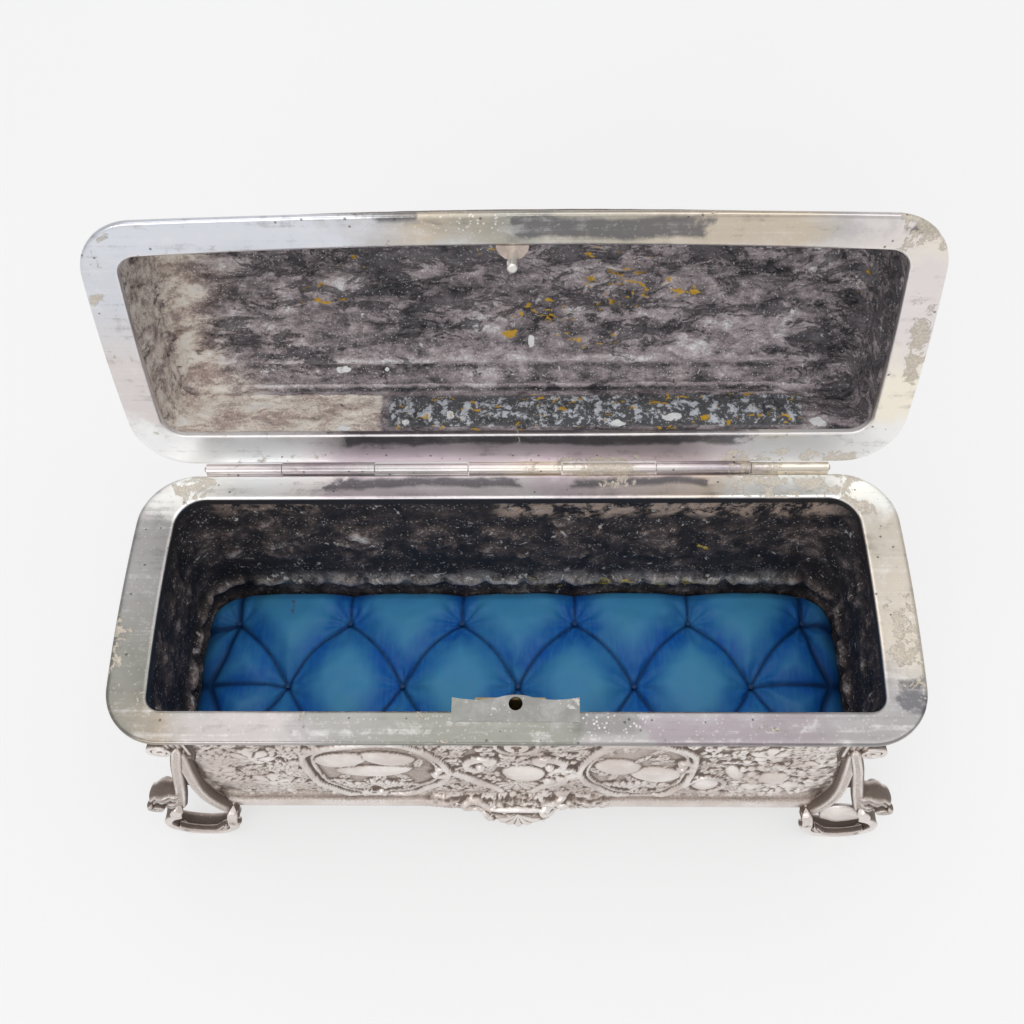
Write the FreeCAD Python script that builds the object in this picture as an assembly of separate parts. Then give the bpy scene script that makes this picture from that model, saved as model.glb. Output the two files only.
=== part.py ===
import FreeCAD, Part
import math
import os

# A silver-plated jewel casket with a hinged lid. It stands on four openwork scroll feet and is
# lined with a tufted satin cushion. Lengths are in millimetres and angles in degrees.
# Every piece is drawn with X along the casket, Y towards the back and Z up. The hinge line lies
# at Y zero and Z zero, in the seam between the two rims, and the lid's pieces are drawn shut.
# The last section leans the lid back on its stop and moves all pieces over the table.

# Overall sizes
casket_length = 223.0  # base rim, end to end at its widest
casket_depth = 82.2  # both rims, front edge to back edge
seam_height = 86.0  # hinge line above the table
open_angle = 107.8  # lean of the open lid, from shut
lid_overlength = 1.7  # how much longer the lid rim is than the base rim
overrun = 5.0  # how far cutting tools run past what they cut

# The two polished rims
rim_thickness = 2.0
rim_edge_round = 0.7
seam_gap = 0.15  # air between the shut rims
corner_radius = 16.4
end_bow = 1.5  # bulge of the two ends at mid depth
base_front_flange = 9.1
base_back_flange = 8.1
base_end_flange = 11.3
base_opening_front_radius = 4.5
base_opening_back_radius = 8.5
lip_depth = 3.8  # turned-down inner edge of the base rim
lip_thickness = 1.2
lid_front_flange = 8.9
lid_back_flange = 11.0
lid_end_flange = 9.95
lid_opening_radius = 6.0
lid_front_bow = 2.0  # how far the lid's free edge falls back towards its corners
lid_opening_bow = 2.8
least_radius = 3.0

# Cast body
body_lift = 16.0  # underside of the body above the table
body_corner_radius = 25.0  # drawn out to the rim's edge
wall = 3.0
end_wall = 4.5
neck_inset = 4.2  # outer faces behind the rim's edge, from the top down
wall_inset = 3.4
cove_inset = 4.9
torus_inset = 1.0
sole_inset = 1.9
cavity_radius = 14.0
back_lean = 4.6  # how far the inner back wall comes forward going down
back_bead = 1.3  # inner moulding over the cushion
front_lean = 1.0
floor_thickness = 1.2
solder_gap = 0.05

# Cast lid
lid_height = 24.0  # top of the lid above its rim
lid_wall = 2.2
lid_foot_grow = 2.7  # outer faces beyond the lid's opening, from the rim up
lid_band_grow = 0.2
lid_bead_grow = 1.2
lid_neck_grow = -0.5
lid_shoulder_drop = 3.0
lid_cove_drop = 8.0
lid_field_drop = 16.0
lid_crown_drop = 22.0

# Hinge
hinge_setback = 2.0  # hinge line behind the rims' back edges
inner_knuckles = 5
inner_knuckle_length = 27.8
end_knuckle_length = 22.8
knuckle_radius = 1.7
knuckle_gap = 0.3
pin_radius = 0.85
pin_fit = 0.02  # radial clearance in the base knuckles, which hold the pin
pin_running_fit = 0.06  # radial clearance in the lid knuckles
pin_end = 0.6  # peened end past the last knuckle
web_relief = 0.4  # from the seam to the web of a knuckle
stop_fit = 0.1  # from the stop heel to the base rim when the lid is open
heel_thickness = 1.6
heel_reach = 3.6  # bottom of the stop heel below the hinge line, lid open
heel_rise = 1.0

# Catch on the lid
catch_x = 0.8  # the lock stands this far right of the middle
stud_radius = 1.4
stud_length = 7.3
stud_tip = 0.6
stud_inset = 11.35  # stud behind the rims' front edges
notch_depth = 1.2  # how far the bolt's notch goes into the stud
notch_top = 4.3
notch_bottom = 6.6
spigot_radius = 0.9
lug_radius = 4.2

# Lock plate, let into the front rim
tab_half_width = 17.15
tab_bed = 3.0  # how far the plate is let into the rim
tab_thickness = 1.2
tab_corner_reach = 3.9  # past the rim's inner edge
tab_dip_reach = 3.2
tab_middle_reach = 4.6
catch_hole_radius = 1.9
catch_hole_reach = 2.1

# Lock case under the plate
case_left = 11.0  # from the stud
case_right = 8.0
case_depth = 6.5
case_wall = 0.5
case_height = 15.0
case_front_gap = 0.4  # from the body's inner front wall
key_drop = 11.8  # key axis below the seam
key_hole_radius = 1.5
key_slot_width = 1.3
key_slot_drop = 4.0
plate_half_width = 3.4
plate_half_height = 4.6
plate_thickness = 0.8

# Sliding bolt
bolt_travel = 2.9
bolt_top = 4.8  # below the seam
bolt_thickness = 1.3
bolt_side_gap = 0.3
bolt_back_room = 1.6  # from the bolt's tail to the case
bolt_bar_width = 1.4
bolt_bar_end = 4.2
bolt_tip_gap = 0.3
prong_thickness = 1.1
prong_drop = 3.6
ledge_width = 1.0
ledge_thickness = 0.6
ledge_gap = 0.1
ledge_end_gap = 0.6
spring_thickness = 0.4
spring_width = 2.2
spring_gap = 0.15
spring_start = 0.5  # below the lock plate
spring_rise = 1.6

# Scroll feet
loop_radius = 12.0
loop_thickness = 3.2
loop_inset = 10.2  # middle of the loop from the rim's end
loop_start_angle = 80.0
loop_end_angle = -212.0
foot_flat = 0.6  # how much of the loop's underside is filed flat
foot_width = 6.6
foot_proud = 4.0  # front of the foot before the rim
knee_low = 17.5  # above the table
knee_high = 37.0
knee_tip_height = 28.5
knee_tip_reach = 2.7  # past the rim's end
knee_root_inset = 11.0
knee_width = 10.4
knee_setback = 0.8
capital_outside = 12.5  # from the rim's end
capital_width = 10.4
capital_depth = 10.0
capital_height = 16.0
capital_gap = 1.0  # from the rim
capital_setback = 0.2  # behind the rim's front edge
strap_width = 4.4
strap_thickness = 3.4
strap_proud = 0.4
strap_head_inset = 18.5  # middle of the strap in the capital, from the rim's end
strap_foot_inset = 7.8  # the same in the leaf

# Apron ornaments under the front and back
apron_half_width = 28.0
apron_top = 5.0  # above the body's underside
apron_wing_drop = 2.4
apron_half_middle = 9.9
apron_drop = 9.5
apron_wing_proud = 1.2
apron_boss_proud = 5.5
apron_bite = 2.0

# Main forms of the cast relief. Places run along the casket from its middle, and heights are from
# the hinge line
relief_proud = 1.7
relief_bite = 2.2  # how far a form reaches into the wall behind it
frame_half_band = 1.3  # half the width of a frame's band
shield_z = -37.0
shield_half_height = 29.5
left_shield_x = -40.0
left_shield_half = 20.4
right_shield_x = 35.0
right_shield_half = 16.2
# Ovals on the long walls: place along the wall, height, half length and half height
wall_ovals = (
    (-49.5, -24.5, 8.4, 5.8),
    (-36.0, -23.0, 8.0, 5.4),
    (-41.0, -34.5, 11.0, 4.6),
    (29.5, -30.5, 6.4, 7.4),
    (41.0, -38.0, 6.8, 8.2),
    (2.4, -37.5, 6.2, 8.2),
    (56.5, -49.5, 5.2, 8.6),
    (-74.0, -22.0, 6.8, 6.2),
    (-87.0, -36.0, 6.0, 5.4),
    (-73.0, -46.0, 6.6, 7.4),
    (71.0, -19.0, 6.2, 5.6),
    (75.5, -41.0, 7.0, 8.6),
    (87.0, -26.0, 5.0, 6.8),
)
# Ribbons: two ends, each by its place along the wall and its height
wall_ribbons = (
    ((-19.0, -36.0), (-5.0, -57.5)),
    ((17.5, -36.0), (5.0, -57.5)),
)
end_frame_half_width = 15.5
end_frame_half_height = 24.0
end_frame_z = -34.0
end_ovals = (
    (-5.5, -26.0, 6.0, 6.6),
    (6.0, -27.5, 6.2, 5.7),
    (0.0, -42.0, 8.0, 6.0),
)
crown_proud = 0.9
crown_bite = 2.3
crown_frame_half_length = 27.0
crown_frame_half_width = 16.0
crown_setback = 41.8  # middle of the lid's ornament behind the rim's front edge
# Ovals on the lid, on both sides of its frame: place along it, half length and half width
crown_ovals = ((44.0, 12.0, 9.0), (72.0, 6.5, 4.4))
crown_middle = (9.5, 6.0)

# Cushion on its board
board_thickness = 1.6
board_inset = 1.0
cushion_gap = 0.4  # from the cushion to the walls
cushion_seat = 0.3  # from the cushion to its board
cushion_height = 14.8
cushion_radius = 14.0
cushion_foot_draw = 1.6  # draw-in of the sides, from the board up
cushion_shoulder_draw = 1.0
cushion_edge_draw = 3.4
cushion_crown_draw = 11.0
cushion_top_draw = 20.0
tuft_depth = 5.2
tuft_dish = 6.4
tuft_margin = 10.5  # end tufts from the cushion's end
tuft_front_inset = 6.9  # front row from the cushion's front
tuft_back_inset = 11.2
tuft_columns = 6
pleat_depth = 1.5
pleat_round = 2.6
knot_radius = 0.8
knot_height = 0.7
knot_seat = 0.3

# Derived levels and lines
half_base = casket_length / 2
half_lid = (casket_length + lid_overlength) / 2
front_edge = -(hinge_setback + casket_depth)
back_edge = -hinge_setback
middle_y = (front_edge + back_edge) / 2
table = -seam_height
bow_radius = ((casket_depth / 2) ** 2 + end_bow**2) / (2 * end_bow)
body_top = -(seam_gap / 2 + rim_thickness)
body_bottom = table + body_lift
lid_foot = seam_gap / 2 + rim_thickness
floor_top = body_bottom + floor_thickness
board_top = floor_top + board_thickness
cushion_bottom = board_top + cushion_seat
cavity_half = half_base - wall_inset - end_wall
cavity_front = front_edge + wall_inset + wall
cavity_back = back_edge - wall_inset - wall
low_front = cavity_front + front_lean
low_back = cavity_back - back_lean - back_bead
cushion_half = cavity_half - cushion_gap
cushion_front = low_front + cushion_gap
cushion_back = low_back - cushion_gap
opening_front = front_edge + base_front_flange
hole_y = opening_front + catch_hole_reach
stud_y = front_edge + stud_inset
tab_bottom = -seam_gap / 2 - tab_thickness
case_front = cavity_front + case_front_gap
case_back = case_front + case_depth
case_bottom = tab_bottom - case_height
key_z = -key_drop
hinge_half = inner_knuckles * inner_knuckle_length / 2 + end_knuckle_length

# Shares of a height, from the body's top down and from the lid's rim up
body_profile_shares = (0.0, 0.08, 0.66, 0.76, 0.88, 0.93, 0.97, 1.0)
cavity_profile_shares = (0.66, 0.74)
lid_profile_shares = (0.0, 0.6, 0.64, 0.7, 0.74, 0.84, 0.92, 0.97, 1.0)
cushion_profile_shares = (0.0, 0.45, 0.72, 0.88, 0.96, 1.0)
shield_across_shares = (-1.0, -0.78, -0.2, 0.42, 0.84, 1.0, 0.7, 0.3, -0.55, -0.92)
shield_up_shares = (0.4, 0.74, 0.93, 0.95, 0.55, -0.03, -0.5, -0.8, -0.82, -0.4)
tab_dip_share = 0.58
tab_turn_share = 0.26
knee_bend_share = 0.42


def vec(x, y, z):
    return FreeCAD.Vector(x, y, z)


def block(x_range, y_range, z_range):
    """A plain block between three pairs of limits."""
    low = vec(x_range[0], y_range[0], z_range[0])
    size = [limits[1] - limits[0] for limits in (x_range, y_range, z_range)]
    return Part.makeBox(size[0], size[1], size[2], low)


def rod(radius, start, end):
    """A round bar between two points."""
    way = end - start
    return Part.makeCylinder(radius, way.Length, start, way)


def plan(half_length, front, back, front_radius, back_radius, z, front_bow=0):
    """Closed outline at height z: round corners, bowed ends and a straight or bowed front."""
    centre_y = (front + back) / 2
    bow_x = half_length - bow_radius
    right = []
    for edge, radius, inward in ((front, front_radius, 1), (back, back_radius, -1)):
        y = edge + inward * radius
        x = bow_x + math.sqrt((bow_radius - radius) ** 2 - (y - centre_y) ** 2)
        turn = -inward * math.pi / 2
        if front_bow and edge == front:
            front_radius_of_bow = (half_length**2 + front_bow**2) / (2 * front_bow)
            bow_y = front + front_radius_of_bow
            y = bow_y - math.sqrt((front_radius_of_bow - radius) ** 2 - x**2)
            x = bow_x + math.sqrt((bow_radius - radius) ** 2 - (y - centre_y) ** 2)
            turn = math.atan2(y - bow_y, x)
        lean = math.atan2(y - centre_y, x - bow_x)
        corner = [
            vec(x + radius * math.cos(angle), y + radius * math.sin(angle), z)
            for angle in (turn, (turn + lean) / 2, lean)
        ]
        right.append(corner)
    left = [[vec(-p.x, p.y, p.z) for p in corner] for corner in right]
    end = vec(half_length, centre_y, z)
    other_end = vec(-half_length, centre_y, z)
    front_side = Part.makeLine(left[0][0], right[0][0])
    if front_bow:
        front_side = Part.Arc(left[0][0], vec(0, front, z), right[0][0]).toShape()
    edges = [
        front_side,
        Part.Arc(*right[0]).toShape(),
        Part.Arc(right[0][2], end, right[1][2]).toShape(),
        Part.Arc(*reversed(right[1])).toShape(),
        Part.makeLine(right[1][0], left[1][0]),
        Part.Arc(*left[1]).toShape(),
        Part.Arc(left[1][2], other_end, left[0][2]).toShape(),
        Part.Arc(*reversed(left[0])).toShape(),
    ]
    return Part.Wire(edges)


def rim_plan(half_length, inset, z, front_bow=0):
    """Outline of a rim's outer edge, drawn in on all sides."""
    radius = max(corner_radius - inset, least_radius)
    front = front_edge + inset
    return plan(half_length - inset, front, back_edge - inset, radius, radius, z, front_bow)


def base_opening(grow, z):
    """Outline of the opening in the base rim, grown on all sides."""
    return plan(
        half_base - base_end_flange + grow,
        front_edge + base_front_flange - grow,
        back_edge - base_back_flange + grow,
        base_opening_front_radius + grow,
        base_opening_back_radius + grow,
        z,
    )


def lid_opening(grow, z):
    """Outline of the opening in the lid rim, grown on all sides."""
    radius = max(lid_opening_radius + grow, least_radius)
    return plan(
        half_lid - lid_end_flange + grow,
        front_edge + lid_front_flange - grow,
        back_edge - lid_back_flange + grow,
        radius,
        radius,
        z,
        lid_opening_bow,
    )


def stack(outlines):
    """A solid through outlines at rising or falling heights."""
    return Part.makeLoft(outlines, True, True)


def prism(outline, height):
    return Part.Face(outline).extrude(vec(0, 0, height))


def chain(start, steps):
    """Closed outline from a start, by lines to single points and arcs through pairs of points."""
    edges = []
    here = start
    for step in steps:
        if len(step) == 1:
            edges.append(Part.makeLine(here, step[0]))
        else:
            edges.append(Part.Arc(here, step[0], step[1]).toShape())
        here = step[-1]
    if (here - start).Length > solder_gap:
        edges.append(Part.makeLine(here, start))
    return Part.Wire(edges)


def mirrored(shape, normal):
    """The same piece at the other end, or at the other long side."""
    return shape.mirror(vec(0, middle_y, 0), normal)


def body_level(share):
    return body_top + share * (body_bottom - body_top)


def body_plan(inset, z):
    """Outline of the body's outer face, drawn in from the rim's edge."""
    radius = body_corner_radius - inset
    return plan(half_base - inset, front_edge + inset, back_edge - inset, radius, radius, z)


def body_outside(grow):
    """The body's outer form without its cavity, grown on all sides."""
    insets = (
        neck_inset,
        wall_inset,
        wall_inset,
        cove_inset,
        cove_inset,
        torus_inset,
        torus_inset,
        sole_inset,
    )
    return stack(
        [
            body_plan(inset - grow, body_level(share))
            for share, inset in zip(body_profile_shares, insets)
        ]
    )


def oval_face(centre, first, second):
    """A flat oval around a centre, with its two half sizes as vectors."""
    tips = sorted((first, second), key=lambda way: -way.Length)
    edge = Part.Ellipse(centre + tips[0], centre + tips[1], centre).toShape()
    return Part.Face(Part.Wire(edge))


def wall_form(face):
    """A form of the relief, from a flat face before the front wall."""
    return face.extrude(vec(0, relief_proud + relief_bite, 0))


def shield_frame(x, half_width, side):
    """A band bent into a shield on the front wall; side is 1 or -1 for its mirror image."""
    y = front_edge + wall_inset - relief_proud
    corners = [
        vec(x + side * across_share * half_width, y, shield_z + up_share * shield_half_height)
        for across_share, up_share in zip(shield_across_shares, shield_up_shares)
    ]
    line = Part.makePolygon(corners + corners[:1])
    outer = Part.Face(line.makeOffset2D(frame_half_band))
    return wall_form(outer.cut(Part.Face(line.makeOffset2D(-frame_half_band))))


def long_wall_relief():
    """The raised forms of the front: two shields, the ovals in and beside them, and two ribbons."""
    y = front_edge + wall_inset - relief_proud
    forms = [
        shield_frame(left_shield_x, left_shield_half, 1),
        shield_frame(right_shield_x, right_shield_half, -1),
    ]
    for x, z, half_length, half_height in wall_ovals:
        face = oval_face(vec(x, y, z), vec(half_length, 0, 0), vec(0, 0, half_height))
        forms.append(wall_form(face))
    for start, end in wall_ribbons:
        wall_y = front_edge + wall_inset
        first, last = (vec(place[0], wall_y, place[1]) for place in (start, end))
        forms.append(rod(relief_proud, first, last))
    return forms


def end_wall_relief():
    """The raised forms of the right end: an oval frame with three ovals in it."""
    x = half_base - wall_inset + relief_proud
    bite = vec(-(relief_proud + relief_bite), 0, 0)
    rings = [
        oval_face(
            vec(x, middle_y, end_frame_z),
            vec(0, end_frame_half_width + edge, 0),
            vec(0, 0, end_frame_half_height + edge),
        )
        for edge in (frame_half_band, -frame_half_band)
    ]
    forms = [rings[0].cut(rings[1]).extrude(bite)]
    for y, z, half_length, half_height in end_ovals:
        centre = vec(x, middle_y + y, z)
        forms.append(oval_face(centre, vec(0, half_length, 0), vec(0, 0, half_height)).extrude(bite))
    return forms


def turned_about(forms):
    """The same forms on the opposite wall, turned half round the middle of the casket."""
    turned = [form.copy() for form in forms]
    for form in turned:
        form.rotate(vec(0, middle_y, 0), vec(0, 0, 1), 180)
    return turned


def crown_relief():
    """The raised forms of the lid's crown: an oval frame and ovals in it and beside it."""
    y = front_edge + crown_setback
    z = lid_foot + lid_height + crown_proud
    bite = vec(0, 0, -(crown_proud + crown_bite))
    middle = vec(0, y, z)
    rings = [
        oval_face(
            middle,
            vec(crown_frame_half_length + edge, 0, 0),
            vec(0, crown_frame_half_width + edge, 0),
        )
        for edge in (frame_half_band, -frame_half_band)
    ]
    forms = [rings[0].cut(rings[1]).extrude(bite)]
    ovals = [(0, crown_middle[0], crown_middle[1])]
    for x, half_length, half_width in crown_ovals:
        ovals += [(x, half_length, half_width), (-x, half_length, half_width)]
    for x, half_length, half_width in ovals:
        centre = middle + vec(x, 0, 0)
        forms.append(oval_face(centre, vec(half_length, 0, 0), vec(0, half_width, 0)).extrude(bite))
    return forms


def key_cutter():
    """A keyhole through the front wall, the lock case and the plate before them."""
    front = vec(catch_x, front_edge - overrun, key_z)
    hole = rod(key_hole_radius, front, vec(catch_x, hole_y, key_z))
    slot = block(
        (catch_x - key_slot_width / 2, catch_x + key_slot_width / 2),
        (front_edge - overrun, hole_y),
        (key_z - key_slot_drop, key_z),
    )
    return hole.fuse(slot)


def key_opening():
    """The keyhole as far as it goes through the case's front wall."""
    back = case_front + case_wall + solder_gap
    limit = block(
        (catch_x - plate_half_width, catch_x + plate_half_width),
        (front_edge - overrun, back),
        (key_z - plate_half_height - overrun, key_z + plate_half_height),
    )
    return key_cutter().common(limit)


def make_body_shell():
    bottom = body_bottom - overrun
    turn, foot = (body_level(share) for share in cavity_profile_shares)
    cavity = stack(
        [
            plan(cavity_half, cavity_front, cavity_back, cavity_radius, cavity_radius, body_top + overrun),
            plan(cavity_half, cavity_front, cavity_back, cavity_radius, cavity_radius, body_top),
            plan(cavity_half, low_front, cavity_back - back_lean, cavity_radius, cavity_radius, turn),
            plan(cavity_half, low_front, low_back, cavity_radius, cavity_radius, foot),
            plan(cavity_half, low_front, low_back, cavity_radius, cavity_radius, bottom),
        ]
    )
    seat = prism(base_opening(lip_thickness + solder_gap, -lip_depth - solder_gap), lip_depth)
    long_side, end_side = long_wall_relief(), end_wall_relief()
    relief = long_side + end_side + turned_about(long_side) + turned_about(end_side)
    return body_outside(0).fuse(relief).cut([cavity, seat, key_opening()])


def low_plan(inset, z):
    """Outline of the cavity at the floor, drawn in on all sides."""
    radius = cavity_radius - inset
    return plan(cavity_half - inset, low_front + inset, low_back - inset, radius, radius, z)


def make_floor_plate():
    return prism(low_plan(solder_gap, body_bottom), floor_thickness)


def rim_band(half_length, opening, bottom, front_bow):
    """A flat flange with rounded outer edges around an opening."""
    flange = prism(rim_plan(half_length, 0, bottom, front_bow), rim_thickness)
    rounded = flange.makeFillet(rim_edge_round, flange.Edges)
    return rounded.cut(prism(opening(0, bottom - overrun), rim_thickness + 2 * overrun))


def lock_plate_bed(gap):
    """The plate's straight part, which is let into the rim."""
    return block(
        (catch_x - tab_half_width - gap, catch_x + tab_half_width + gap),
        (opening_front - tab_bed - gap, opening_front),
        (tab_bottom - gap, -seam_gap / 2 + overrun),
    )


def make_base_rim():
    """The base rim: flange, turned-down lip, bed of the lock plate and room for the case."""
    rim = rim_band(half_base, base_opening, body_top, 0)
    lip = prism(base_opening(lip_thickness, -seam_gap / 2 - rim_edge_round), -lip_depth + rim_edge_round)
    lip = lip.cut(prism(base_opening(0, overrun), -lip_depth - 2 * overrun))
    room = block(
        (catch_x - case_left - solder_gap, catch_x + case_right + solder_gap),
        (case_front - solder_gap, opening_front + overrun),
        (-lip_depth - overrun, tab_bottom),
    )
    return rim.fuse(lip).removeSplitter().cut(lock_plate_bed(solder_gap)).cut(room)


def make_lock_plate():
    """The plate with its scalloped inner edge and the round hole for the stud."""
    top = -seam_gap / 2
    corner_y = opening_front + tab_corner_reach
    dip_y = opening_front + tab_dip_reach
    middle = opening_front + tab_middle_reach
    turn_y = (dip_y + middle) / 2
    dip_x = tab_dip_share * tab_half_width
    turn_x = tab_turn_share * tab_half_width
    bed_y = opening_front - tab_bed
    outline = chain(
        vec(catch_x - tab_half_width, bed_y, tab_bottom),
        [
            [vec(catch_x + tab_half_width, bed_y, tab_bottom)],
            [vec(catch_x + tab_half_width, corner_y, tab_bottom)],
            [vec(catch_x + dip_x, dip_y, tab_bottom), vec(catch_x + turn_x, turn_y, tab_bottom)],
            [vec(catch_x, middle, tab_bottom), vec(catch_x - turn_x, turn_y, tab_bottom)],
            [vec(catch_x - dip_x, dip_y, tab_bottom), vec(catch_x - tab_half_width, corner_y, tab_bottom)],
        ],
    )
    plate = prism(outline, top - tab_bottom)
    hole = rod(catch_hole_radius, vec(catch_x, hole_y, tab_bottom - overrun), vec(catch_x, hole_y, overrun))
    return plate.cut(hole)


def make_lock_case():
    """An open-topped case with a ledge that carries the bolt."""
    left = catch_x - case_left
    right = catch_x + case_right
    case = block((left, right), (case_front, case_back), (case_bottom, tab_bottom))
    room = block(
        (left + case_wall, right - case_wall),
        (case_front + case_wall, case_back - case_wall),
        (case_bottom + case_wall, tab_bottom + overrun),
    )
    ledge_top = -bolt_top - bolt_thickness - ledge_gap
    ledge = block(
        (left, catch_x - stud_radius - ledge_end_gap),
        (case_back - case_wall - ledge_width, case_back),
        (ledge_top - ledge_thickness, ledge_top),
    )
    return case.cut(room).cut(key_opening()).fuse(ledge).removeSplitter()


def make_lock_bolt():
    """The bolt drawn back: a head that enters the stud's notch, a bar and two prongs for the key."""
    top = -bolt_top
    bottom = top - bolt_thickness
    front = case_front + case_wall + bolt_side_gap
    back = case_back - case_wall - bolt_side_gap
    tail = catch_x - case_left + case_wall + bolt_back_room
    tip = catch_x + stud_radius - (2 * stud_radius - notch_depth) - bolt_tip_gap - bolt_travel
    head = block((tail, tip), (front, back), (bottom, top))
    bar_end = catch_x + bolt_bar_end
    bar = block((tail, bar_end), (front, front + bolt_bar_width), (bottom, top))
    bolt = head.fuse(bar)
    for side in (-1, 1):
        middle = catch_x + side * (key_hole_radius + prong_thickness / 2)
        prong = block(
            (middle - prong_thickness / 2, middle + prong_thickness / 2),
            (front, front + bolt_bar_width),
            (bottom - prong_drop, bottom),
        )
        bolt = bolt.fuse(prong)
    return bolt.removeSplitter()


def make_lock_spring():
    """A bent leaf that presses on the bolt and keeps it from drifting."""
    start_x = catch_x - case_left + case_wall
    end_x = catch_x - stud_radius - ledge_end_gap
    high = tab_bottom - spring_start
    low = -bolt_top + spring_gap
    front = (case_front + case_back - spring_width) / 2
    middle_x = (start_x + end_x) / 2
    end_z = low + spring_rise
    strip = chain(
        vec(start_x, front, high),
        [
            [vec(middle_x, front, low + spring_thickness), vec(end_x, front, end_z + spring_thickness)],
            [vec(end_x, front, end_z)],
            [vec(middle_x, front, low), vec(start_x, front, high - spring_thickness)],
        ],
    )
    return Part.Face(strip).extrude(vec(0, spring_width, 0))


def make_keyhole_plate():
    """An oval plate on the front wall around the keyhole."""
    back = front_edge + wall_inset
    oval = Part.Wire(Part.Ellipse(vec(0, 0, 0), plate_half_height, plate_half_width).toShape())
    plate = Part.Face(oval).extrude(vec(0, 0, plate_thickness))
    plate.rotate(vec(0, 0, 0), vec(0, 0, 1), 90)
    plate.rotate(vec(0, 0, 0), vec(1, 0, 0), 90)
    plate.translate(vec(catch_x, back, key_z))
    return plate.cut(key_cutter())


def knuckle_spans():
    """Start and end of each knuckle, from the left, with the gaps taken off."""
    lengths = [end_knuckle_length] + [inner_knuckle_length] * inner_knuckles + [end_knuckle_length]
    spans = []
    x = -hinge_half
    for length in lengths:
        spans.append((x + knuckle_gap / 2, x + length - knuckle_gap / 2))
        x += length
    return spans


def make_knuckles(first, fit, side):
    """Every other knuckle with its web; side is 1 on the lid and -1 on the base."""
    solids = []
    for start, end in knuckle_spans()[first::2]:
        barrel = rod(knuckle_radius, vec(start, 0, 0), vec(end, 0, 0))
        levels = sorted((side * web_relief, side * lid_foot))
        web = block((start, end), (back_edge, 0), levels)
        bore = rod(pin_radius + fit, vec(start - overrun, 0, 0), vec(end + overrun, 0, 0))
        knuckle = barrel.fuse(web)
        if side > 0:
            knuckle = knuckle.fuse(stop_heel(start, end))
        solids.append(knuckle.removeSplitter().cut(bore))
    return Part.makeCompound(solids)


def stop_heel(start, end):
    """The heel that meets the base rim's back edge when the lid is open, turned to the shut lid."""
    face = back_edge + stop_fit
    heel = block((start, end), (face, face + heel_thickness), (-heel_reach, -heel_rise))
    heel.rotate(vec(0, 0, 0), vec(1, 0, 0), open_angle)
    return heel


def make_hinge_pin():
    reach = hinge_half + pin_end
    pin = rod(pin_radius, vec(-reach, 0, 0), vec(reach, 0, 0))
    return pin.makeFillet(pin_radius / 2, [edge for edge in pin.Edges if edge.Closed])


def make_lid_rim():
    return rim_band(half_lid, lid_opening, seam_gap / 2, lid_front_bow)


def lid_form(inner):
    """The lid's outer or inner form: band, bead, shoulder and a low crown."""
    thickness = lid_wall if inner else 0
    grows = (
        lid_foot_grow,
        lid_band_grow,
        lid_bead_grow,
        lid_bead_grow,
        lid_neck_grow,
        -lid_shoulder_drop,
        -lid_cove_drop,
        -lid_field_drop,
        -lid_crown_drop,
    )
    outlines = [
        lid_opening(grow - thickness, lid_foot + share * (lid_height - thickness))
        for share, grow in zip(lid_profile_shares, grows)
    ]
    if inner:
        outlines.insert(0, lid_opening(lid_foot_grow - thickness, lid_foot - overrun))
    return stack(outlines)


def make_lid_shell():
    return lid_form(False).fuse(crown_relief()).cut(lid_form(True))


def make_stud_lug():
    """A half-round lug on the lid rim's inner edge that carries the stud."""
    edge = front_edge + lid_front_flange
    low = seam_gap / 2
    disc = Part.makeCylinder(lug_radius, rim_thickness, vec(catch_x, edge, low))
    half = disc.common(
        block(
            (catch_x - lug_radius, catch_x + lug_radius),
            (edge, edge + lug_radius),
            (low, low + rim_thickness),
        )
    )
    hole = rod(
        spigot_radius + pin_fit,
        vec(catch_x, stud_y, low - overrun),
        vec(catch_x, stud_y, low + rim_thickness + overrun),
    )
    return half.cut(hole)


def make_lid_stud():
    """The stud with a round tip, a side notch for the bolt and a spigot in its lug."""
    root = seam_gap / 2
    shaft = rod(stud_radius, vec(catch_x, stud_y, root - stud_length), vec(catch_x, stud_y, root))
    low_edge = [edge for edge in shaft.Edges if edge.BoundBox.ZMax < root - stud_length / 2]
    shaft = shaft.makeFillet(stud_tip, low_edge)
    notch = block(
        (catch_x - stud_radius - overrun, catch_x - stud_radius + notch_depth),
        (stud_y - stud_radius - overrun, stud_y + stud_radius + overrun),
        (-notch_bottom, -notch_top),
    )
    spigot = rod(spigot_radius, vec(catch_x, stud_y, root), vec(catch_x, stud_y, root + rim_thickness))
    return shaft.cut(notch).fuse(spigot)


def loop_point(radius, angle):
    """A point of the foot's loop, at an angle from its outer side."""
    turn = math.radians(angle)
    x = half_base - loop_inset + radius * math.cos(turn)
    z = table - foot_flat + loop_radius + radius * math.sin(turn)
    return vec(x, front_edge - foot_proud, z)


def foot_loop():
    """The openwork loop: a flat band bent round from the knee to the body's underside."""
    outer = loop_radius
    inner = loop_radius - loop_thickness
    middle = (loop_start_angle + loop_end_angle) / 2
    early = (loop_start_angle + middle) / 2
    late = (loop_end_angle + middle) / 2
    outline = chain(
        loop_point(outer, loop_start_angle),
        [
            [loop_point(outer, early), loop_point(outer, middle)],
            [loop_point(outer, late), loop_point(outer, loop_end_angle)],
            [loop_point(inner, loop_end_angle)],
            [loop_point(inner, late), loop_point(inner, middle)],
            [loop_point(inner, early), loop_point(inner, loop_start_angle)],
        ],
    )
    return Part.Face(outline).extrude(vec(0, foot_width, 0))


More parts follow.
